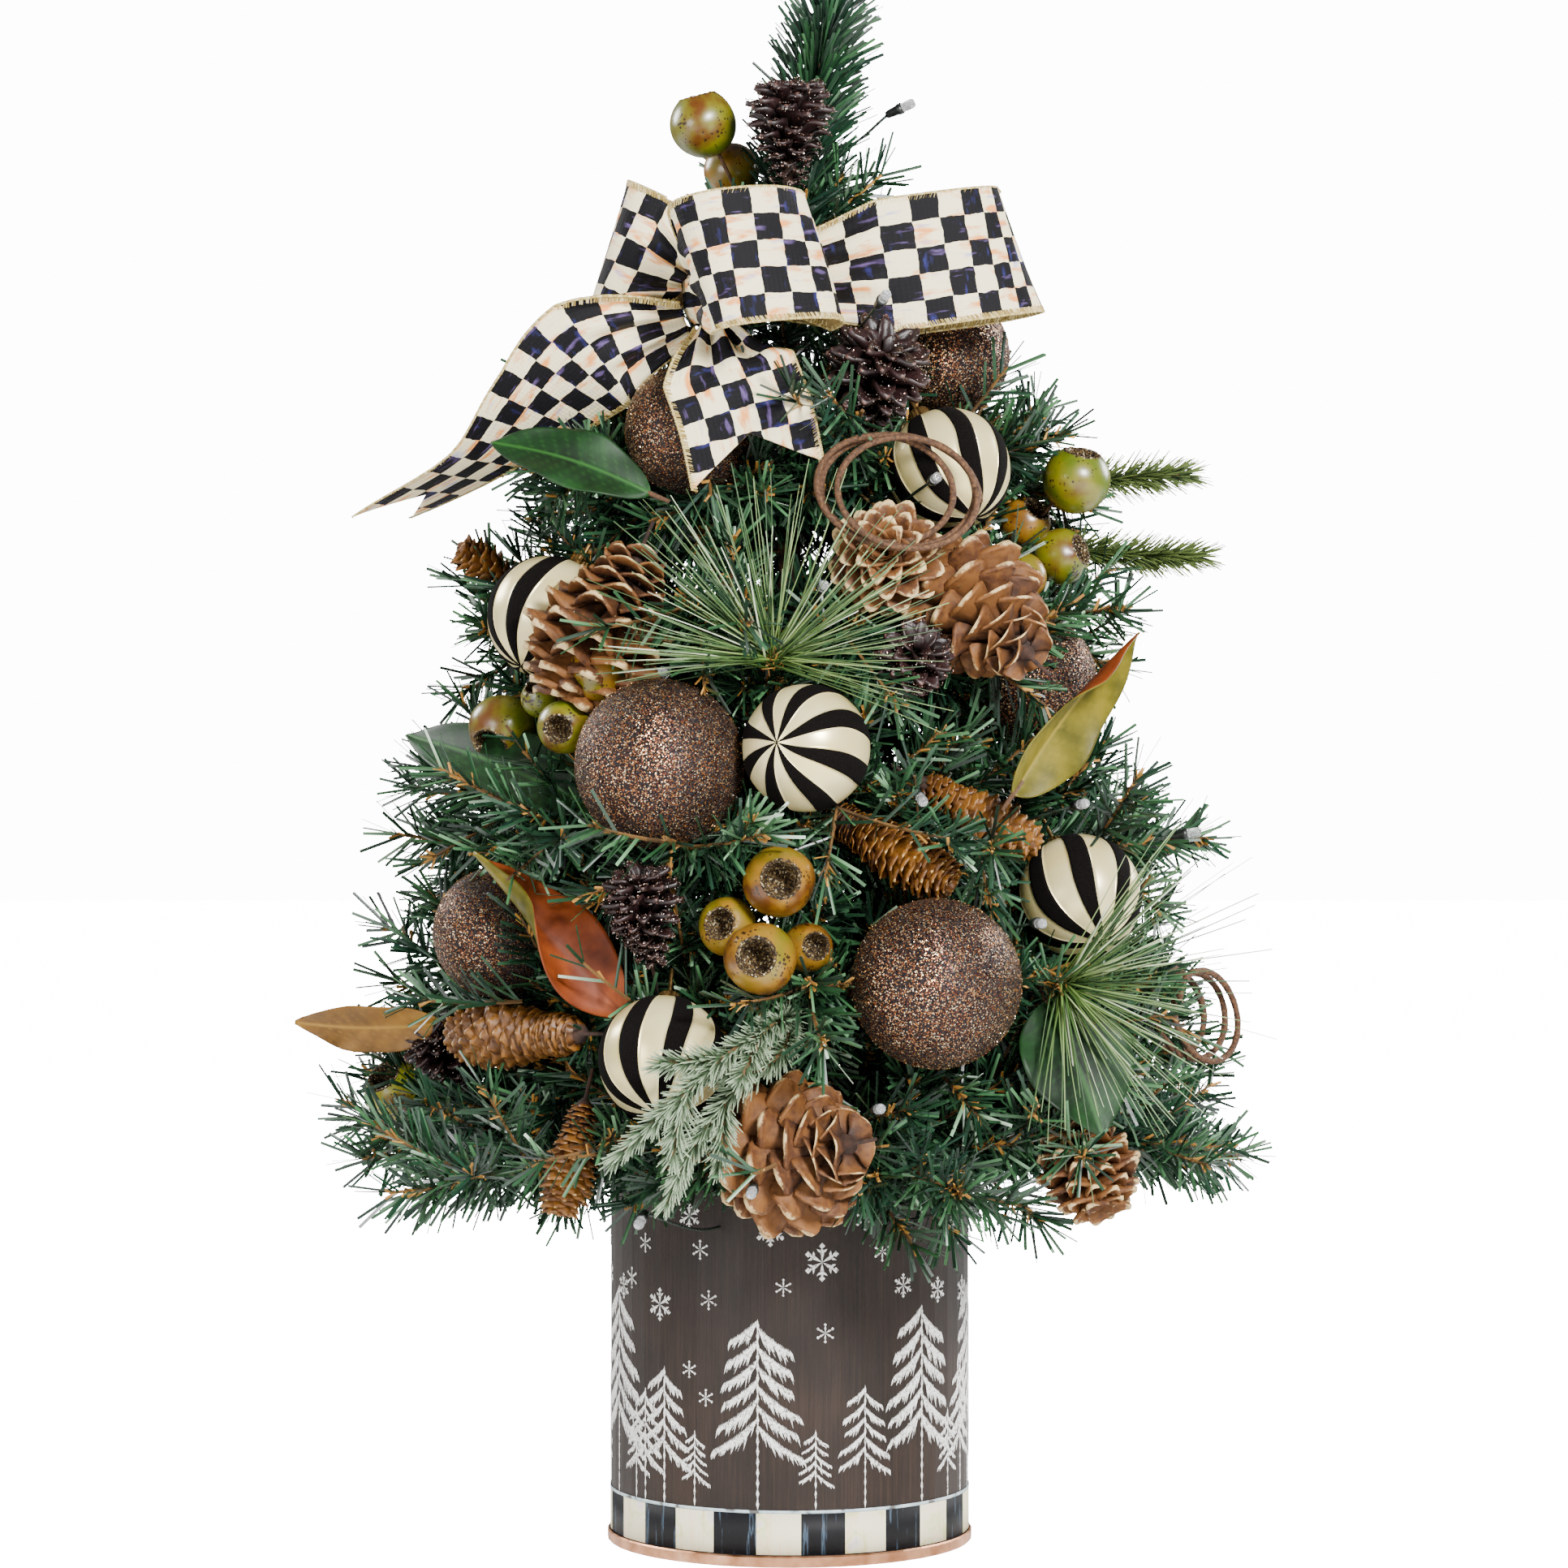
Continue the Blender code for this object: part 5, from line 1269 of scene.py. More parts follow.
def cone_wood(name, inner_shades, outer_shades, margin, margin_edge, roughness=0.7):
    """The wood of a cone's scales: mottled, darker at the root, with a paler margin."""
    made, shader = finish(name, Roughness=roughness)
    own = add(made, "Attribute", attribute_name="tone")
    rim = add(made, "Attribute", attribute_name="rim")
    high = add(made, "Attribute", attribute_name="height")
    place = add(made, "TexCoord")
    mottle = add(made, "TexNoise", {"Vector": place, "Scale": 260.0, "Detail": 6.0})
    blend = add(made, "Math", {0: own, 1: 0.35}, operation="MULTIPLY")
    mixed = add(made, "Math", {0: mottle, 1: blend}, operation="ADD")
    dark = add(made, "ValToRGB", {"Fac": mixed}, stops=inner_shades)
    pale = add(made, "ValToRGB", {"Fac": mixed}, stops=outer_shades)
    body = add(made, "Mix", {0: high, 6: dark, 7: pale})
    broken = add(made, "TexNoise", {"Vector": place, "Scale": 420.0, "Detail": 3.0})
    spread = add(made, "Math", {0: broken, 1: 0.34}, operation="MULTIPLY")
    reach = add(made, "Math", {0: rim, 1: spread}, operation="ADD")
    edge = add(made, "MapRange", {"Value": reach, "From Min": margin_edge, "From Max": margin_edge + 0.1})
    washed = add(made, "Mix", {0: edge, 6: body, 7: margin})
    grain = add(made, "Bump", {"Height": mottle, "Strength": 0.6, "Distance": 0.0006})
    feed(made, shader, Base_Color=washed, Normal=grain)
    return made


open_wood = cone_wood("pine_cone_wood", [(0.25, "0C0502"), (0.55, "1C0B04"), (0.85, "331607")],
    [(0.25, "351C08"), (0.5, "57300E"), (0.8, "7A4C1C")], "CFB07A", 0.97)
core_wood = mottled("cone_core", 300.0, 5.0, [(0.3, "1A0D07"), (0.7, "3B2112")], Roughness=0.85)


def cone_core(name, middle, axis, length, radius, core, slot_name):
    """The woody core of a cone and the wire at its base."""
    foot = middle - axis * length / 2
    points = [foot - axis * 0.0148, foot - axis * 0.001, foot + axis * 0.002]
    radii = [0.0009, 0.001, radius * core * 0.4]
    for step in range(1, 7):
        points.append(foot + axis * (0.002 + (length * 0.7 - 0.002) * step / 6))
        radii.append(max(radius * core * (0.6 if step == 1 else 0.95 - 0.8 * step / 6), 0.0012))
    keep(rounded(points, radii, 10), name + "_core", core_wood, smooth=True)


spoon = scale_shape([(0.0, 0.15), (0.3, 0.22), (0.55, 0.38), (0.74, 0.48), (0.86, 0.5), (0.95, 0.42),
    (1.0, 0.26)], 4, 0.24, 0.13, 0.075)


def grow_cone(name, place, shape, wood, count, core, opening, fullness, width, seed, slot_name, overhang=1.0):
    """A cone's scales and core at its place, which is its middle, tip direction, length and radius."""
    frames, tones = cone_scales(*place, count, core, opening, fullness, width, seed, overhang)
    made = planted(name + "_scales", shape, frames, wood, tones=tones, smooth=True)
    cone_core(name, *place, core, slot_name)
    return made, frames


for number in range(1, 6):
    name = f"open_cone_{number}"
    place = cone_of(name)
    squat = place[2] / place[3] < 1.9
    made, _ = grow_cone(name, place, spoon, open_wood, 76 if squat else 84, 0.26,
        (112, 12) if squat else (112, 16), 0.75, 0.58, number, "cone_scale")
    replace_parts(made, name)

# ---- spruce cones
# Long spruce cones, their thin papery scales lying over each other like shingles, glossy orange brown.

spruce_wood = cone_wood("spruce_cone_wood", [(0.25, "120702"), (0.55, "261004"), (0.85, "3E1C08")],
    [(0.25, "3A2006"), (0.5, "5E370C"), (0.8, "865618")], "C9A468", 1.06, 0.5)
shingle = scale_shape([(0.0, 0.24), (0.35, 0.42), (0.65, 0.5), (0.85, 0.45), (0.96, 0.3), (1.0, 0.16)], 4,
    0.2, -0.03, 0.05)
for number in range(1, 5):
    name = f"spruce_cone_{number}"
    place = cone_of(name)
    made, _ = grow_cone(name, place, shingle, spruce_wood, round(place[2] / 0.0005), 0.5, (64, 22), 0.85,
        0.62, 10 + number, "spruce_cone_scale", 0.92)
    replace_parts(made, name)

# ---- frosted cones
# Small pine cones dyed dark burgundy, the edges of their scales dusted with silver-pink glitter.

frost_wood = cone_wood("frosted_cone_wood", [(0.25, "050202"), (0.6, "0B0404"), (0.85, "140808")],
    [(0.25, "0D0505"), (0.5, "180A0A"), (0.8, "281312")], "6A4A40", 1.08, 0.45)
frost_dust = toned("frost_glitter", [(0.0, "3E241E"), (0.55, "86604E"), (1.0, "FFF4EC")], Metallic=0.8,
    Roughness=0.25)
petal = scale_shape([(0.0, 0.2), (0.4, 0.32), (0.7, 0.47), (0.88, 0.42), (1.0, 0.2)], 4, 0.16, 0.08, 0.09)


def glitter_dust(name, frames, share, seed):
    """Flakes of glitter near the outer margins of the scales."""
    draws = np.random.default_rng(seed)
    count = len(frames) * share
    pick = draws.integers(0, len(frames), count)
    across = draws.uniform(-0.42, 0.42, count)
    along = 1.0 - draws.exponential(0.16, count)
    along = np.clip(along, 0.35, 1.0) - 0.1 * np.abs(across)
    face = np.where(draws.uniform(0, 1, count) < 0.5, 0.06, -0.1)
    height = face + 0.1 * np.sin(np.pi * along) - 0.1 * along ** 3 + 0.02
    chosen = frames[pick]
    spots = (chosen[:, :, 3] + chosen[:, :, 0] * across[:, None] + chosen[:, :, 1] * height[:, None]
        + chosen[:, :, 2] * along[:, None])
    size = draws.uniform(0.00045, 0.0008, count)
    return planted(name, prism(3, 0.9), frames_along(spots, draws.normal(0, 1, (count, 3)), size * 0.5, size,
        size, draws.uniform(0, 6, count)), frost_dust, tones=draws.uniform(0, 1, count))


for number in range(1, 4):
    name = f"frosted_cone_{number}"
    made, frames = grow_cone(name, cone_of(name), petal, frost_wood, 74, 0.3, (96, 28), 0.75, 0.42,
        20 + number, "frosted_cone_scale")
    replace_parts(made, name)
    glitter_dust(name + "_glitter", frames, 34, number)

# Small cones tucked between the others: middle, radius, length, direction of the tip, and which kind.
SMALL_CONES = [
    ("frosted_small_1", (0.056, -0.13, 0.429), 0.019, 0.036, (0.2, -0.8, 0.5), petal, frost_wood),
    ("frosted_small_2", (-0.165, -0.048, 0.241), 0.018, 0.038, (-0.5, -0.5, 0.6), petal, frost_wood),
    ("spruce_small_1", (-0.145, -0.03, 0.48), 0.014, 0.04, (-0.75, -0.3, 0.45), shingle, spruce_wood),
    ("open_small_1", (0.06, 0.14, 0.3), 0.024, 0.05, (0.3, 0.8, 0.3), spoon, open_wood),
    ("open_small_2", (-0.085, 0.115, 0.39), 0.024, 0.05, (-0.5, 0.7, 0.3), spoon, open_wood),
    ("frosted_small_3", (-0.02, 0.1, 0.5), 0.02, 0.044, (-0.1, 0.8, 0.5), petal, frost_wood),
    ("spruce_small_2", (0.125, 0.085, 0.245), 0.016, 0.062, (0.7, 0.6, -0.2), shingle, spruce_wood),
    ("spruce_small_3", (-0.125, 0.105, 0.265), 0.016, 0.062, (-0.7, 0.6, -0.1), shingle, spruce_wood),
]
for number, (name, middle, radius, length, axis, shape, wood) in enumerate(SMALL_CONES):
    place = Vector(middle), Vector(axis).normalized(), length, radius
    slot_name = {petal: "frosted_cone_scale", shingle: "spruce_cone_scale", spoon: "cone_scale"}[shape]
    if shape is shingle:
        growth = round(length / 0.0008), 0.5, (62, 24), 0.85, 0.6
    else:
        growth = 54, 0.3, (98, 26), 0.75, 0.48
    _, frames = grow_cone(name, place, shape, wood, *growth, 40 + number, slot_name)
    if shape is petal:
        glitter_dust(name + "_glitter", frames, 26, 50 + number)

# ---- pods
# Round foam pods coated in olive lacquer that shades to gold brown, speckled with black, on paper-wrapped
# wires. Each has a crater in its top with a crusty gold-brown rim.

# junction of the stems, then each pod's centre, radius and direction of its crater: as in the CAD
POD_PICKS = [
    ((-0.015, -0.004, 0.652), [
        ((-0.043, -0.02, 0.701), 0.017, (-0.2, -0.1, 0.97)),
        ((-0.029, 0.006, 0.682), 0.014, (-0.5, 0.1, 0.85)),
    ]),
    ((0.104, 0.012, 0.49), [
        ((0.141, -0.028, 0.525), 0.017, (0.2, -0.3, 0.93)),
        ((0.117, -0.006, 0.505), 0.013, (0.5, -0.6, 0.6)),
        ((0.134, -0.022, 0.487), 0.0145, (0.8, -0.5, 0.3)),
        ((0.114, -0.046, 0.476), 0.012, (-0.2, -0.9, -0.3)),
    ]),
    ((-0.093, -0.066, 0.405), [
        ((-0.139, -0.064, 0.402), 0.017, (-0.4, -0.7, -0.6)),
        ((-0.107, -0.111, 0.402), 0.013, (-0.2, -0.95, -0.1)),
        ((-0.119, -0.088, 0.416), 0.01, (-0.3, -0.6, 0.7)),
        ((-0.091, -0.114, 0.428), 0.0145, (0.1, -0.6, 0.8)),
    ]),
    ((-0.008, -0.122, 0.308), [
        ((-0.005, -0.162, 0.33), 0.017, (0.05, -0.97, 0.1)),
        ((-0.029, -0.152, 0.309), 0.014, (-0.3, -0.9, 0.15)),
        ((-0.014, -0.177, 0.295), 0.017, (-0.1, -0.97, 0.1)),
        ((0.008, -0.15, 0.299), 0.012, (0.4, -0.9, 0.1)),
    ]),
]
# Single pods without a pick of their own: junction and pods, as above.
LOOSE_PODS = [
    ((-0.15, -0.01, 0.222), [((-0.193, -0.02, 0.223), 0.017, (-0.5, -0.6, 0.6))]),
    ((0.02, 0.09, 0.35), [((0.03, 0.15, 0.365), 0.0165, (0.2, 0.9, 0.3)),
                             ((0.008, 0.146, 0.35), 0.0135, (-0.3, 0.9, 0.1)),
                             ((0.024, 0.152, 0.335), 0.013, (0.1, 0.9, -0.4))]),
]


def pod_skin(name, green, gold):
    """Lacquer that runs from green to gold over the pod, speckled and faintly orange-peeled."""
    made, shader = finish(name, Roughness=0.34, Coat_Weight=0.35, Coat_Roughness=0.2)
    place = add(made, "TexCoord")
    cloud = add(made, "TexNoise", {"Vector": place, "Scale": 48.0, "Detail": 3.0})
    tone = add(made, "ValToRGB", {"Fac": cloud}, stops=[(0.36, green), (0.52, gold), (0.66, "5A340E")])
    fleck = add(made, "TexVoronoi", {"Vector": place, "Scale": 520.0})
    spread = add(made, "TexNoise", {"Vector": place, "Scale": 110.0, "Detail": 2.0})
    room = add(made, "MapRange", {"Value": spread, "From Min": 0.42, "From Max": 0.72, "To Min": 0.0,
        "To Max": 0.5})
    near = add(made, "Math", {0: fleck.outputs["Distance"], 1: room}, operation="LESS_THAN")
    speckled_skin = add(made, "Mix", {0: near, 6: tone, 7: "2A1A0C"})
    peel = add(made, "Bump", {"Height": spread, "Strength": 0.12, "Distance": 0.001})
    feed(made, shader, Base_Color=speckled_skin, Normal=peel)
    return made


green_pod = pod_skin("olive_pod_skin", "4E5E0C", "6E6A12")
gold_pod = pod_skin("gold_pod_skin", "6C6210", "8A6218")
yellow_pod = pod_skin("yellow_pod_skin", "93A022", "A39C2A")
crust, shader = finish("pod_crust", Roughness=0.6, Metallic=0.35)
place = add(crust, "TexCoord")
crumb = add(crust, "TexVoronoi", {"Vector": place, "Scale": 1300.0})
tone = add(crust, "ValToRGB", {"Fac": crumb.outputs["Color"]}, stops=[(0.0, "0D0805"), (0.45, "2C1D0E"),
    (0.75, "73592E"), (0.95, "E0D2A8")])
lumps = add(crust, "Bump", {"Height": crumb.outputs["Distance"], "Strength": 0.9, "Distance": 0.0008})
feed(crust, shader, Base_Color=tone, Normal=lumps)
stem_paper = mottled("stem_paper", 600.0, 3.0, [(0.3, "3A2514"), (0.7, "5C3D22")], Roughness=0.85)


def pod(name, centre, radius, crater, skin):
    """One pod: a slightly lumpy ball whose open crater has a crusty lip."""
    bm = bmesh.new()
    steps = 40
    mouth = math.radians(35)
    outline = []
    for step in range(25):
        angle = math.pi - (math.pi - mouth) * step / 24
        outline.append((radius * math.sin(angle), radius * math.cos(angle), 0))
    rim = (radius * math.sin(mouth), radius * math.cos(mouth))
    outline[0] = (0.0, -radius, 0)
    outline += [(rim[0] * wide, rim[1] * high, 1) for wide, high in ((0.96, 1.03), (0.88, 1.03), (0.82, 0.95),
        (0.8, 0.7), (0.74, 0.4), (0.6, 0.16), (0.34, 0.06), (0.0, 0.02))]
    turns = [2 * math.pi * side / steps for side in range(steps)]
    foot, *rings, floor = [[bm.verts.new((reach * math.cos(turn), reach * math.sin(turn), height))
        for turn in (turns if reach else [0.0])] for reach, height, _ in outline]
    for side in range(steps):
        bm.faces.new((foot[0], rings[0][(side + 1) % steps], rings[0][side]))
    skinned(bm, rings)
    for side in range(steps):
        bm.faces.new((rings[-1][side], rings[-1][(side + 1) % steps], floor[0]))
    for index, face in enumerate(bm.faces):
        face.material_index = outline[1 + index // steps][2]
    bmesh.ops.recalc_face_normals(bm, faces=bm.faces)
    for vert in bm.verts:
        lump = noise.noise(vert.co * 60 + Vector(centre) * 90) * 0.05
        vert.co *= 1.0 + lump - 0.02
        if vert.co.z > rim[1] * 0.9 and abs(math.hypot(vert.co.x, vert.co.y) - rim[0] * 0.92) < rim[0] * 0.14:
            vert.co += vert.co.normalized() * noise.noise(vert.co * 900) * 0.0009
    bmesh.ops.transform(bm, verts=bm.verts, matrix=Matrix.Translation(centre) @ facing(crater))
    return keep(bm, name, skin, crust, smooth=True)


def stem_to(name, start, end, radius, made):
    """A thin wrapped stem with a slight bow between two points."""
    start, end = Vector(start), Vector(end)
    bow = Vector((0.0, 0.0, -0.1 * (end - start).length))
    points = [start.lerp(end, step / 8) + bow * math.sin(math.pi * step / 8) * 0.5 for step in range(9)]
    return keep(rounded(points, [radius] * 9, 8), name, made, smooth=True)


for pick, (junction, pods) in enumerate([*POD_PICKS, *LOOSE_PODS], 1):
    skins = {4: [gold_pod], 5: [yellow_pod], 3: [green_pod, green_pod, green_pod, gold_pod]}.get(pick,
        [green_pod, gold_pod])
    for number, (centre, radius, crater) in enumerate(pods, 1):
        made = pod(f"pod_{pick}_{number}", centre, radius, crater, skins[(number - 1) % len(skins)])
        if number == 1 and pick <= len(POD_PICKS):
            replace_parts(made, f"pod_pick_{pick}")
        back = Vector(centre) + (Vector(junction) - Vector(centre)).normalized() * radius * 0.9
        stem_to(f"pod_stem_{pick}_{number}", junction, back, 0.001, stem_paper)
    tail = Vector(junction) - Vector((0.0, 0.0, 0.012))
    keep(rounded([Vector(junction) + Vector((0, 0, 0.001)), tail], [0.0018, 0.0016], 8),
        f"pod_foot_{pick}", stem_paper, smooth=True)

# ---- magnolia leaves
# Printed fabric leaves with a moulded midrib and side veins and a waxy face: green ones, and ones that are
# olive or bronze on the face with a suede-brown back.

# base, tip, direction that the face looks in, width, sag, fold, twist in degrees: as in the CAD
LEAVES = [
    ((-0.066, -0.12, 0.512), (-0.142, -0.104, 0.537), (-0.25, -0.75, 0.62), 0.034, 0.006, 0.2, 0),
    ((0.104, -0.14, 0.37), (0.168, -0.068, 0.448), (0.55, -0.75, -0.1), 0.04, -0.006, 0.45, 20),
    ((-0.077, -0.136, 0.267), (-0.15, -0.113, 0.342), (-0.3, -0.85, 0.2), 0.042, 0.006, 0.3, 80),
    ((-0.166, -0.06, 0.259), (-0.243, -0.03, 0.258), (-0.1, -0.9, -0.4), 0.025, 0.005, 0.25, 10),
    ((0.121, -0.116, 0.272), (0.146, -0.136, 0.211), (0.3, -0.9, 0.2), 0.056, 0.004, 0.2, 0),
]
# Leaves tucked in between, without a wire pick of their own.
TUCKED_LEAVES = [
    ((-0.089, -0.118, 0.362), (-0.188, -0.03, 0.399), (-0.2, -0.75, 0.55), 0.04, 0.006, 0.2, 0),
    ((0.15, -0.02, 0.335), (0.205, -0.012, 0.348), (0.1, -0.7, 0.7), 0.02, 0.003, 0.25, 0),
    ((0.07, 0.11, 0.42), (0.13, 0.12, 0.455), (0.4, 0.8, 0.3), 0.036, 0.005, 0.25, 10),
    ((-0.06, 0.13, 0.27), (-0.125, 0.15, 0.245), (-0.3, 0.9, 0.2), 0.038, 0.005, 0.25, 20),
]


def leaf_wax(name, low, mid, high, rib, roughness):
    """A leaf's face: mottled wax with paler ribs, from its own coordinates."""
    made, shader = finish(name, Roughness=roughness, Specular_IOR_Level=0.3)
    rib_height = add(made, "Attribute", attribute_name="rib")
    place = add(made, "TexCoord")
    cloud = add(made, "TexNoise", {"Vector": place, "Scale": 55.0, "Detail": 5.0})
    tone = add(made, "ValToRGB", {"Fac": cloud}, stops=[(0.3, low), (0.5, mid), (0.72, high)])
    veined = add(made, "Mix", {0: rib_height, 6: tone, 7: rib})
    fine = add(made, "TexNoise", {"Vector": place, "Scale": 900.0, "Detail": 3.0})
    tooth = add(made, "Bump", {"Height": fine, "Strength": 0.15, "Distance": 0.0003})
    feed(made, shader, Base_Color=veined, Normal=tooth)
    return made


green_face = leaf_wax("green_leaf_face", "051606", "0A270B", "133A13", "2A5A22", 0.52)
olive_face = leaf_wax("olive_leaf_face", "3C3A08", "58520C", "746818", "857626", 0.4)
bronze_face = leaf_wax("bronze_leaf_face", "4E340C", "6E4A14", "8A621E", "95702A", 0.42)
brown_back = leaf_wax("brown_leaf_back", "4E1E06", "6E2E08", "883E0E", "5E280A", 0.6)
pale_back = leaf_wax("pale_leaf_back", "3C5A2C", "53713A", "688548", "7E9858", 0.5)


def leaf(name, values, face_side, back_side, curl=(0.0, 0.0)):
    """A long oval leaf with a sag along it, a fold down its rib, a twist, and moulded veins.
    curl is how far each half rolls up towards the face from the middle of the leaf to its tip, in radians."""
    base, tip, face, width, sag, fold, twist = values
    base, tip, face = Vector(base), Vector(tip), Vector(face)
    along = (tip - base).normalized()
    face = (face - face.project(along)).normalized()
    rows, columns = 44, 24
    bm = bmesh.new()
    rib = bm.verts.layers.float.new("rib")
    grid = []
    for row in range(rows + 1):
        share = row / rows
        half = width / 2 * max(math.sin(math.pi * share ** 0.85) ** 0.75, 0.05)
        turn = Matrix.Rotation(math.radians(twist) * share, 3, along)
        up = turn @ face
        side = along.cross(up)
        middle = base.lerp(tip, share) + face * sag * math.sin(math.pi * share)
        line = []
        for column in range(columns + 1):
            across = column / columns * 2 - 1
            vein_phase = (share * 13 - abs(across) * 1.5) % 1.0
            vein = max(0.0, 1.0 - abs(vein_phase - 0.5) * 9) * (abs(across) > 0.06) * (1 - abs(across)) ** 0.4
            midrib = max(0.0, 1.0 - abs(across) * half / 0.0012)
            wave = 0.0012 * math.sin(share * 15 + across * 2) * across * across
            roll = curl[across > 0] * min(1.0, max(0.0, (share - 0.15) / 0.45)) * abs(across)
            spread = math.sin(roll) / roll if roll > 0.01 else 1.0
            rise = (1 - math.cos(roll)) / roll if roll > 0.01 else 0.0
            height = half * (fold * spread + rise) * abs(across) + 0.00012 * vein + 0.0004 * midrib + wave
            vert = bm.verts.new(middle + side * half * across * spread + up * height)
            vert[rib] = min(1.0, 0.35 * vein + 0.9 * midrib)
            line.append(vert)
        grid.append(line)
    skinned(bm, grid, closed=False)
    bm.normal_update()
    if sum(item.normal.dot(face) for item in bm.faces) < 0:
        bmesh.ops.reverse_faces(bm, faces=bm.faces[:])
    made = keep(bm, name + "_leaf", face_side, back_side, smooth=True)
    thicken(made, 0.0007)
    stalk_end = base - along * 0.01 - Vector((0.0, 0.0, 0.001))
    stalk = keep(rounded([stalk_end, base, base.lerp(tip, 0.08) - face * 0.0004], [0.001, 0.0012, 0.0008], 8),
        name + "_stalk", stem_paper, smooth=True)
    return made


faces = [(green_face, pale_back), (olive_face, brown_back), (brown_back, olive_face),
    (bronze_face, brown_back), (green_face, pale_back)]
curls = [(0.0, 0.0), (1.6, 0.0), (2.2, 0.0), (0.0, 0.0), (0.0, 0.0)]
for number, (values, sides, curl) in enumerate(zip(LEAVES, faces, curls), 1):
    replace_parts(leaf(f"magnolia_{number}", values, *sides, curl), f"magnolia_leaf_{number}")
faces = [(green_face, pale_back), (green_face, pale_back), (green_face, brown_back), (olive_face, brown_back)]
for number, (values, sides) in enumerate(zip(TUCKED_LEAVES, faces), 1):
    leaf(f"tucked_{number}", values, *sides)

# ---- long-needle sprays
# Picks of long white-pine needles, fanned from a brown sheath: fine, springy, grey-green to yellow-green,
# with near-white painted highlight in the needle colour.

# hub, lean of the whole fan towards the front, its angles seen from the front (degrees), length and count
NEEDLE_SPRAYS = [((-0.008, -0.143, 0.433), 0.42, (-12, 180), 0.088, 170),
    ((0.128, -0.13, 0.281), 0.5, (-100, 64), 0.094, 130)]
long_green, shader = finish("long_needles", Roughness=0.45)
own = add(long_green, "Attribute", attribute_name="tone")
high = add(long_green, "Attribute", attribute_name="height")
# The near-white top stops of both long-needle ramps below are painted highlight.
low_tone = add(long_green, "ValToRGB", {"Fac": own}, stops=[(0.0, "1C3216"), (0.4, "38561C"), (0.7, "668034"),
    (0.88, "A8BC7A"), (1.0, "E4EAD0")])
top_tone = add(long_green, "ValToRGB", {"Fac": own}, stops=[(0.0, "243E2A"), (0.4, "4A683C"),
    (0.75, "8AA06C"), (1.0, "E4EAD8")])
mixed = add(long_green, "Mix", {0: high, 6: low_tone, 7: top_tone})
feed(long_green, shader, Base_Color=mixed)
for number, (hub, lean, span, length, count) in enumerate(NEEDLE_SPRAYS, 1):
    draws = np.random.default_rng(60 + number)
    angles = np.radians(draws.uniform(span[0] - 8, span[1] + 8, count))
    lean_each = draws.uniform(-0.15, lean * 2.2, count)
    heading = np.stack([np.cos(angles), -lean_each, np.sin(angles)], axis=1)
    origins = np.array(hub) + draws.normal(0, 0.0016, (count, 3))
    lengths = length * draws.uniform(0.72, 1.06, count) / np.linalg.norm(heading, axis=1) * 1.05
    widths = draws.uniform(0.0009, 0.0014, count)
    frames = frames_along(origins, heading, lengths, widths, widths * 0.6, draws.uniform(0, 6.28, count))
    # The bend is built into the shape in units of its width, so it is scaled up to a few millimetres.
    made = planted(f"spray_{number}_needles", prism(4, 0.45, 5, 6.0), frames, long_green,
        tones=draws.beta(1.6, 1.8, count), smooth=True)
    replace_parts(made, f"needle_spray_{number}")
    sheath = draws.normal(0, 1, (46, 3)) + np.array([0.0, -0.9, 0.3])
    bits = frames_along(np.array(hub) + draws.normal(0, 0.0018, (46, 3)), sheath,
        draws.uniform(0.004, 0.01, 46), 0.0011, 0.0007, 0.0)
    planted(f"spray_{number}_sheath", prism(3, 0.4, 3, 0.8), bits, twig_brown,
        tones=draws.uniform(0.3, 1.0, 46))
    foot = [Vector(hub) + Vector((0.0, back, 0.0)) for back in (0.016, 0.004, 0.0)]
    foot = rounded(foot, [0.0024, 0.003, 0.0022], 10)
    keep(foot, f"spray_{number}_foot", stem_paper, smooth=True)

# ---- spruce sprigs
# Moulded spruce sprigs: short plump needles all round a stem, frosted grey-green at the front, olive at
# the side.

SPRUCE_PICKS = [
    [
        [(0.0, -0.15, 0.268), (-0.005, -0.176, 0.266), (-0.03, -0.198, 0.251), (-0.056, -0.203, 0.227),
         (-0.08, -0.194, 0.204)],
        [(0.0, -0.15, 0.264), (-0.004, -0.178, 0.252), (-0.026, -0.188, 0.234), (-0.044, -0.19, 0.21),
         (-0.056, -0.188, 0.184)],
    ],
    [
        [(0.106, 0.02, 0.505), (0.135, 0.016, 0.524), (0.165, 0.012, 0.528), (0.198, 0.008, 0.53)],
        [(0.106, 0.02, 0.505), (0.135, 0.016, 0.494), (0.168, 0.012, 0.49), (0.203, 0.006, 0.489)],
    ],
]


def sprig_material(name, root, mid, end):
    """Moulded needles, paler and frosted at their ends."""
    made, shader = finish(name, Roughness=0.6)
    own = add(made, "Attribute", attribute_name="tone")
    high = add(made, "Attribute", attribute_name="height")
    both = add(made, "Math", {0: own, 1: 0.4}, operation="MULTIPLY")
    total = add(made, "Math", {0: high, 1: both}, operation="ADD")
    tone = add(made, "ValToRGB", {"Fac": total}, stops=[(0.0, root), (0.55, mid), (1.0, end)])
    feed(made, shader, Base_Color=tone)
    return made


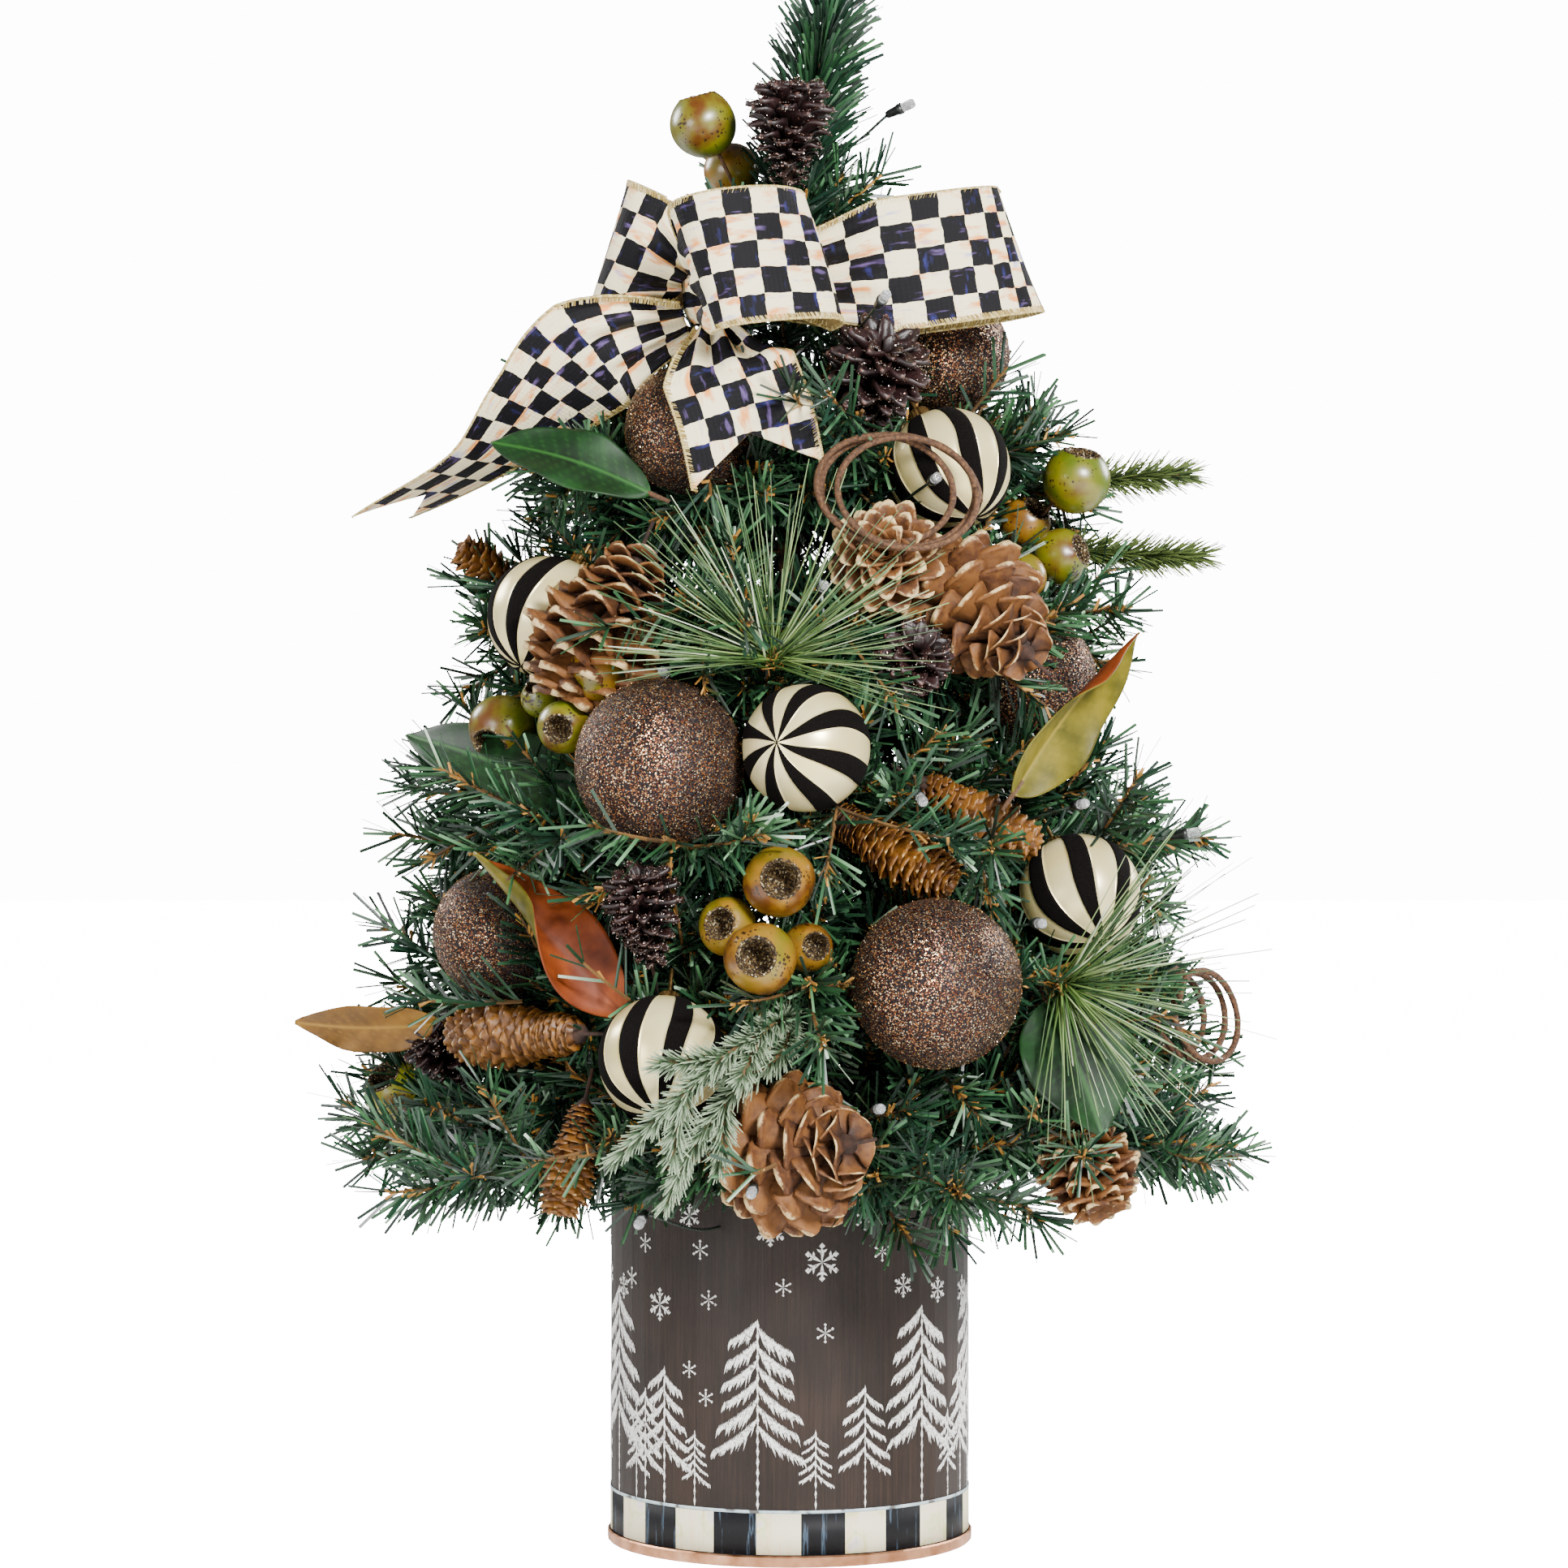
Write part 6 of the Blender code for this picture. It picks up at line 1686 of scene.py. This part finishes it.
frosted_sprig = sprig_material("frosted_sprig", "1E2A14", "42583A", "94A688")
olive_sprig = sprig_material("olive_sprig", "141E0A", "2E4016", "5E7036")
for pick, (sprig_paths, made_of) in enumerate(zip(SPRUCE_PICKS, (frosted_sprig, olive_sprig)), 1):
    draws = np.random.default_rng(70 + pick)
    routes = [smooth_path(path, 6) for path in sprig_paths]
    twigs = list(routes)
    if pick == 1:
        for route, sides in ((routes[0], ((8, 1), (12, -1), (16, 1))), (routes[1], ((9, -1), (13, 1)))):
            for at, side in sides:
                along = (route[at + 1] - route[at]).normalized()
                out = Matrix.Rotation(math.radians(34 * side), 3, Vector((0.0, -1.0, 0.0))) @ along
                twigs.append([route[at] + out * 0.03 * step / 5 for step in range(6)])
    frames, tones = needle_frames(twigs, draws, 0.012 if pick == 1 else 0.0185, 5000 if pick == 1 else 6500,
        (30, 56), 0.0013, 0.001)
    made = planted(f"sprig_{pick}_needles", prism(4, 0.35), frames, made_of, tones=tones)
    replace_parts(made, f"spruce_pick_{pick}")
    twig = planted(f"sprig_{pick}_stems", rod, stems(twigs, 0.0013), twig_brown,
        tones=np.full(sum(len(t) - 1 for t in twigs), 0.3))

# ---- vines
# Stiff wire wrapped in brown paper, wound into loose coils: the wrap shows as a slanting seam.

# middle of the coil, its axis, radius, turns, step from turn to turn: as in the CAD
VINES = [((0.05, -0.134, 0.512), (0.15, -0.9, 0.42), 0.034, 3.0, 0.0062),
    ((0.197, -0.03, 0.262), (0.75, -0.62, 0.2), 0.025, 3.5, 0.0075)]
VINE_RADIUS = 0.0016
vine_paper, shader = finish("vine_paper", Roughness=0.8)
flat = add(vine_paper, "Attribute", attribute_name="run")
place = add(vine_paper, "TexCoord")
fibre = add(vine_paper, "TexNoise", {"Vector": place, "Scale": 700.0, "Detail": 4.0})
seam = add(vine_paper, "Math", {0: flat, 1: 6.2832 / 0.006}, operation="MULTIPLY")
slant = add(vine_paper, "Math", {0: seam}, operation="SINE")
both = add(vine_paper, "Math", {0: slant, 1: fibre}, operation="ADD")
tone = add(vine_paper, "ValToRGB", {"Fac": fibre}, stops=[(0.3, "2E1A0D"), (0.5, "4A2E17"), (0.72, "6B4828")])
ridge = add(vine_paper, "Bump", {"Height": both, "Strength": 0.35, "Distance": 0.0004})
feed(vine_paper, shader, Base_Color=tone, Normal=ridge)
for number, (middle, axis, radius, turns, pitch) in enumerate(VINES, 1):
    turn = facing(axis)
    count = round(turns * 72)
    points, radii = [], []
    for step in range(count + 1):
        angle = 2 * math.pi * turns * step / count
        reach = radius * (1.0 + 0.1 * math.sin(angle * 0.55))
        local = Vector((reach * math.cos(angle) + 0.22 * radius * math.cos(angle * 0.38),
            reach * 0.86 * math.sin(angle) + 0.18 * radius * math.sin(angle * 0.31),
            pitch * turns * (step / count - 0.5)))
        points.append(Vector(middle) + turn @ local)
        radii.append(VINE_RADIUS * (1.0 + 0.05 * math.sin(step * 1.3) + 0.04 * math.sin(step * 0.37)))
    bm = rounded(points, radii, 12)
    run = bm.verts.layers.float.new("run")
    for index, vert in enumerate(bm.verts):
        vert[run] = (index // 12) * 2 * math.pi * radius / 72 + (index % 12) / 12 * 0.006
    made = keep(bm, f"vine_{number}_wrap", vine_paper, smooth=True)
    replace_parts(made, f"vine_{number}")

# ---- lamps
# Small LEDs of the light string: a clear moulded cap with a ribbed neck in a black holder, on a short dark
# lead that runs back to the trunk.

# tip of each lamp, and the direction in which it looks
LAMPS = [
    ((0.062, -0.02, 0.712), (0.85, -0.3, 0.35)), ((-0.082, -0.052, 0.598), (-0.6, -0.4, 0.6)),
    ((0.046, -0.125, 0.606), (0.3, -0.9, 0.3)), ((0.07, -0.12, 0.52), (0.2, -0.95, 0.1)),
    ((0.016, -0.148, 0.468), (0.1, -0.97, 0.2)), ((-0.118, -0.096, 0.41), (-0.3, -0.9, 0.2)),
    ((-0.06, -0.14, 0.428), (-0.2, -0.95, 0.2)), ((0.062, -0.158, 0.366), (0.2, -0.9, -0.35)),
    ((0.14, -0.118, 0.366), (0.35, -0.9, 0.1)), ((0.2, -0.06, 0.352), (0.95, -0.25, 0.15)),
    ((-0.066, -0.158, 0.325), (-0.2, -0.95, 0.1)), ((0.118, -0.148, 0.31), (0.3, -0.95, 0.0)),
    ((0.042, -0.176, 0.226), (0.2, -0.95, 0.1)), ((-0.018, -0.196, 0.188), (-0.1, -0.95, -0.2)),
    ((-0.07, -0.176, 0.172), (-0.2, -0.9, -0.3)), ((0.085, -0.172, 0.176), (0.2, -0.9, -0.3)),
    ((-0.128, 0.09, 0.33), (-0.7, 0.6, 0.2)), ((0.096, 0.126, 0.372), (0.5, 0.8, 0.2)),
    ((0.01, 0.16, 0.25), (0.0, 0.97, -0.1)), ((-0.06, 0.11, 0.452), (-0.4, 0.85, 0.3)),
    ((0.06, 0.08, 0.54), (0.5, 0.75, 0.3)), ((0.15, 0.11, 0.21), (0.7, 0.6, -0.2)),
]
lens_clear = mottled("clear_lens", 700.0, 2.0, [(0.3, "F2F5F5"), (0.7, "FFFFFF")], Roughness=0.06,
    Transmission_Weight=0.82, IOR=1.49)
holder_black = mottled("lamp_holder", 900.0, 2.0, [(0.3, "0C0F0D"), (0.7, "1B201D")], Roughness=0.4)


def turned_piece(name, outline, place_at, made, steps=18):
    """A closed turned piece from its outline of radii and heights, bottom first, both ends on the axis."""
    bm = spun(outline, steps)
    bmesh.ops.transform(bm, verts=bm.verts, matrix=place_at)
    return keep(bm, name, made, smooth=True)


for number, (tip, look) in enumerate(LAMPS, 1):
    look = Vector(look).normalized()
    at = Matrix.Translation(Vector(tip) - look * 0.016) @ facing(look)
    holder = turned_piece(f"lamp_{number}_holder", [(0.0, 0.0), (0.0016, 0.0), (0.002, 0.0012),
        (0.0024, 0.006), (0.0028, 0.0068), (0.0028, 0.0088), (0.0, 0.0088)], at, holder_black)
    lens = turned_piece(f"lamp_{number}_lens", [(0.0, 0.0089), (0.0023, 0.0089), (0.0024, 0.0096),
        (0.0021, 0.01), (0.0024, 0.0105), (0.0025, 0.014), (0.0019, 0.0154), (0.0009, 0.0149), (0.0, 0.0144)],
        at, lens_clear)
    start = Vector(tip) - look * 0.0158
    root = Vector((start.x * 0.25, start.y * 0.25, start.z - 0.012))
    sag = (start + root) / 2 - Vector((0.0, 0.0, 0.008))
    lead = keep(rounded(smooth_path([start + look * 0.001, sag, root], 8), [0.0007] * 17, 8),
        f"lamp_{number}_lead", lead_green, smooth=True)

# ---- studio
# A white floor and a bright backdrop, both bright to the camera only, and soft boxes: key from the right
# front, fill from the left, rim lights from behind.

floor_paint, shader = finish("studio_floor", Roughness=0.9, Base_Color=linear("FBFBFA"),
    Emission_Color=(1.0, 1.0, 1.0, 1.0))
seen = add(floor_paint, "LightPath")
glow = add(floor_paint, "MapRange", {"Value": seen.outputs["Is Camera Ray"], "To Min": 0.1, "To Max": 16.0})
feed(floor_paint, shader, Emission_Strength=glow)
bm = bmesh.new()
bmesh.ops.create_grid(bm, x_segments=1, y_segments=1, size=12.0)
floor = bpy.data.objects.new("floor", mesh_of(bm, "floor", floor_paint))
bpy.context.scene.collection.objects.link(floor)

world = bpy.data.worlds.new("studio")
bpy.context.scene.world = world
world.use_nodes = True
backdrop = world.node_tree.nodes["Background"]
backdrop.inputs["Color"].default_value = (1.0, 1.0, 1.0, 1.0)
seen = add(world, "LightPath")
level = add(world, "MapRange", {"Value": seen.outputs["Is Camera Ray"], "To Min": 0.13, "To Max": 14.0})
feed(world, backdrop, Strength=level)


def soft_box(name, spot, aim, size, power):
    """A round soft box aimed at a point."""
    light = bpy.data.lights.new(name, "AREA")
    light.shape = "DISK"
    light.size = size
    light.energy = power
    made = bpy.data.objects.new(name, light)
    made.location = spot
    made.rotation_euler = (Vector(aim) - Vector(spot)).to_track_quat("-Z", "Y").to_euler()
    bpy.context.scene.collection.objects.link(made)


soft_box("key", (0.9, -1.9, 1.35), (0.0, 0.0, 0.35), 0.6, 130.0)
soft_box("fill", (-1.5, -1.7, 0.7), (0.0, 0.0, 0.35), 1.0, 30.0)
soft_box("rim_right", (1.5, 0.9, 1.1), (0.0, 0.0, 0.4), 0.7, 32.0)
soft_box("rim_left", (-1.5, 0.7, 1.3), (0.0, 0.0, 0.4), 0.7, 36.0)
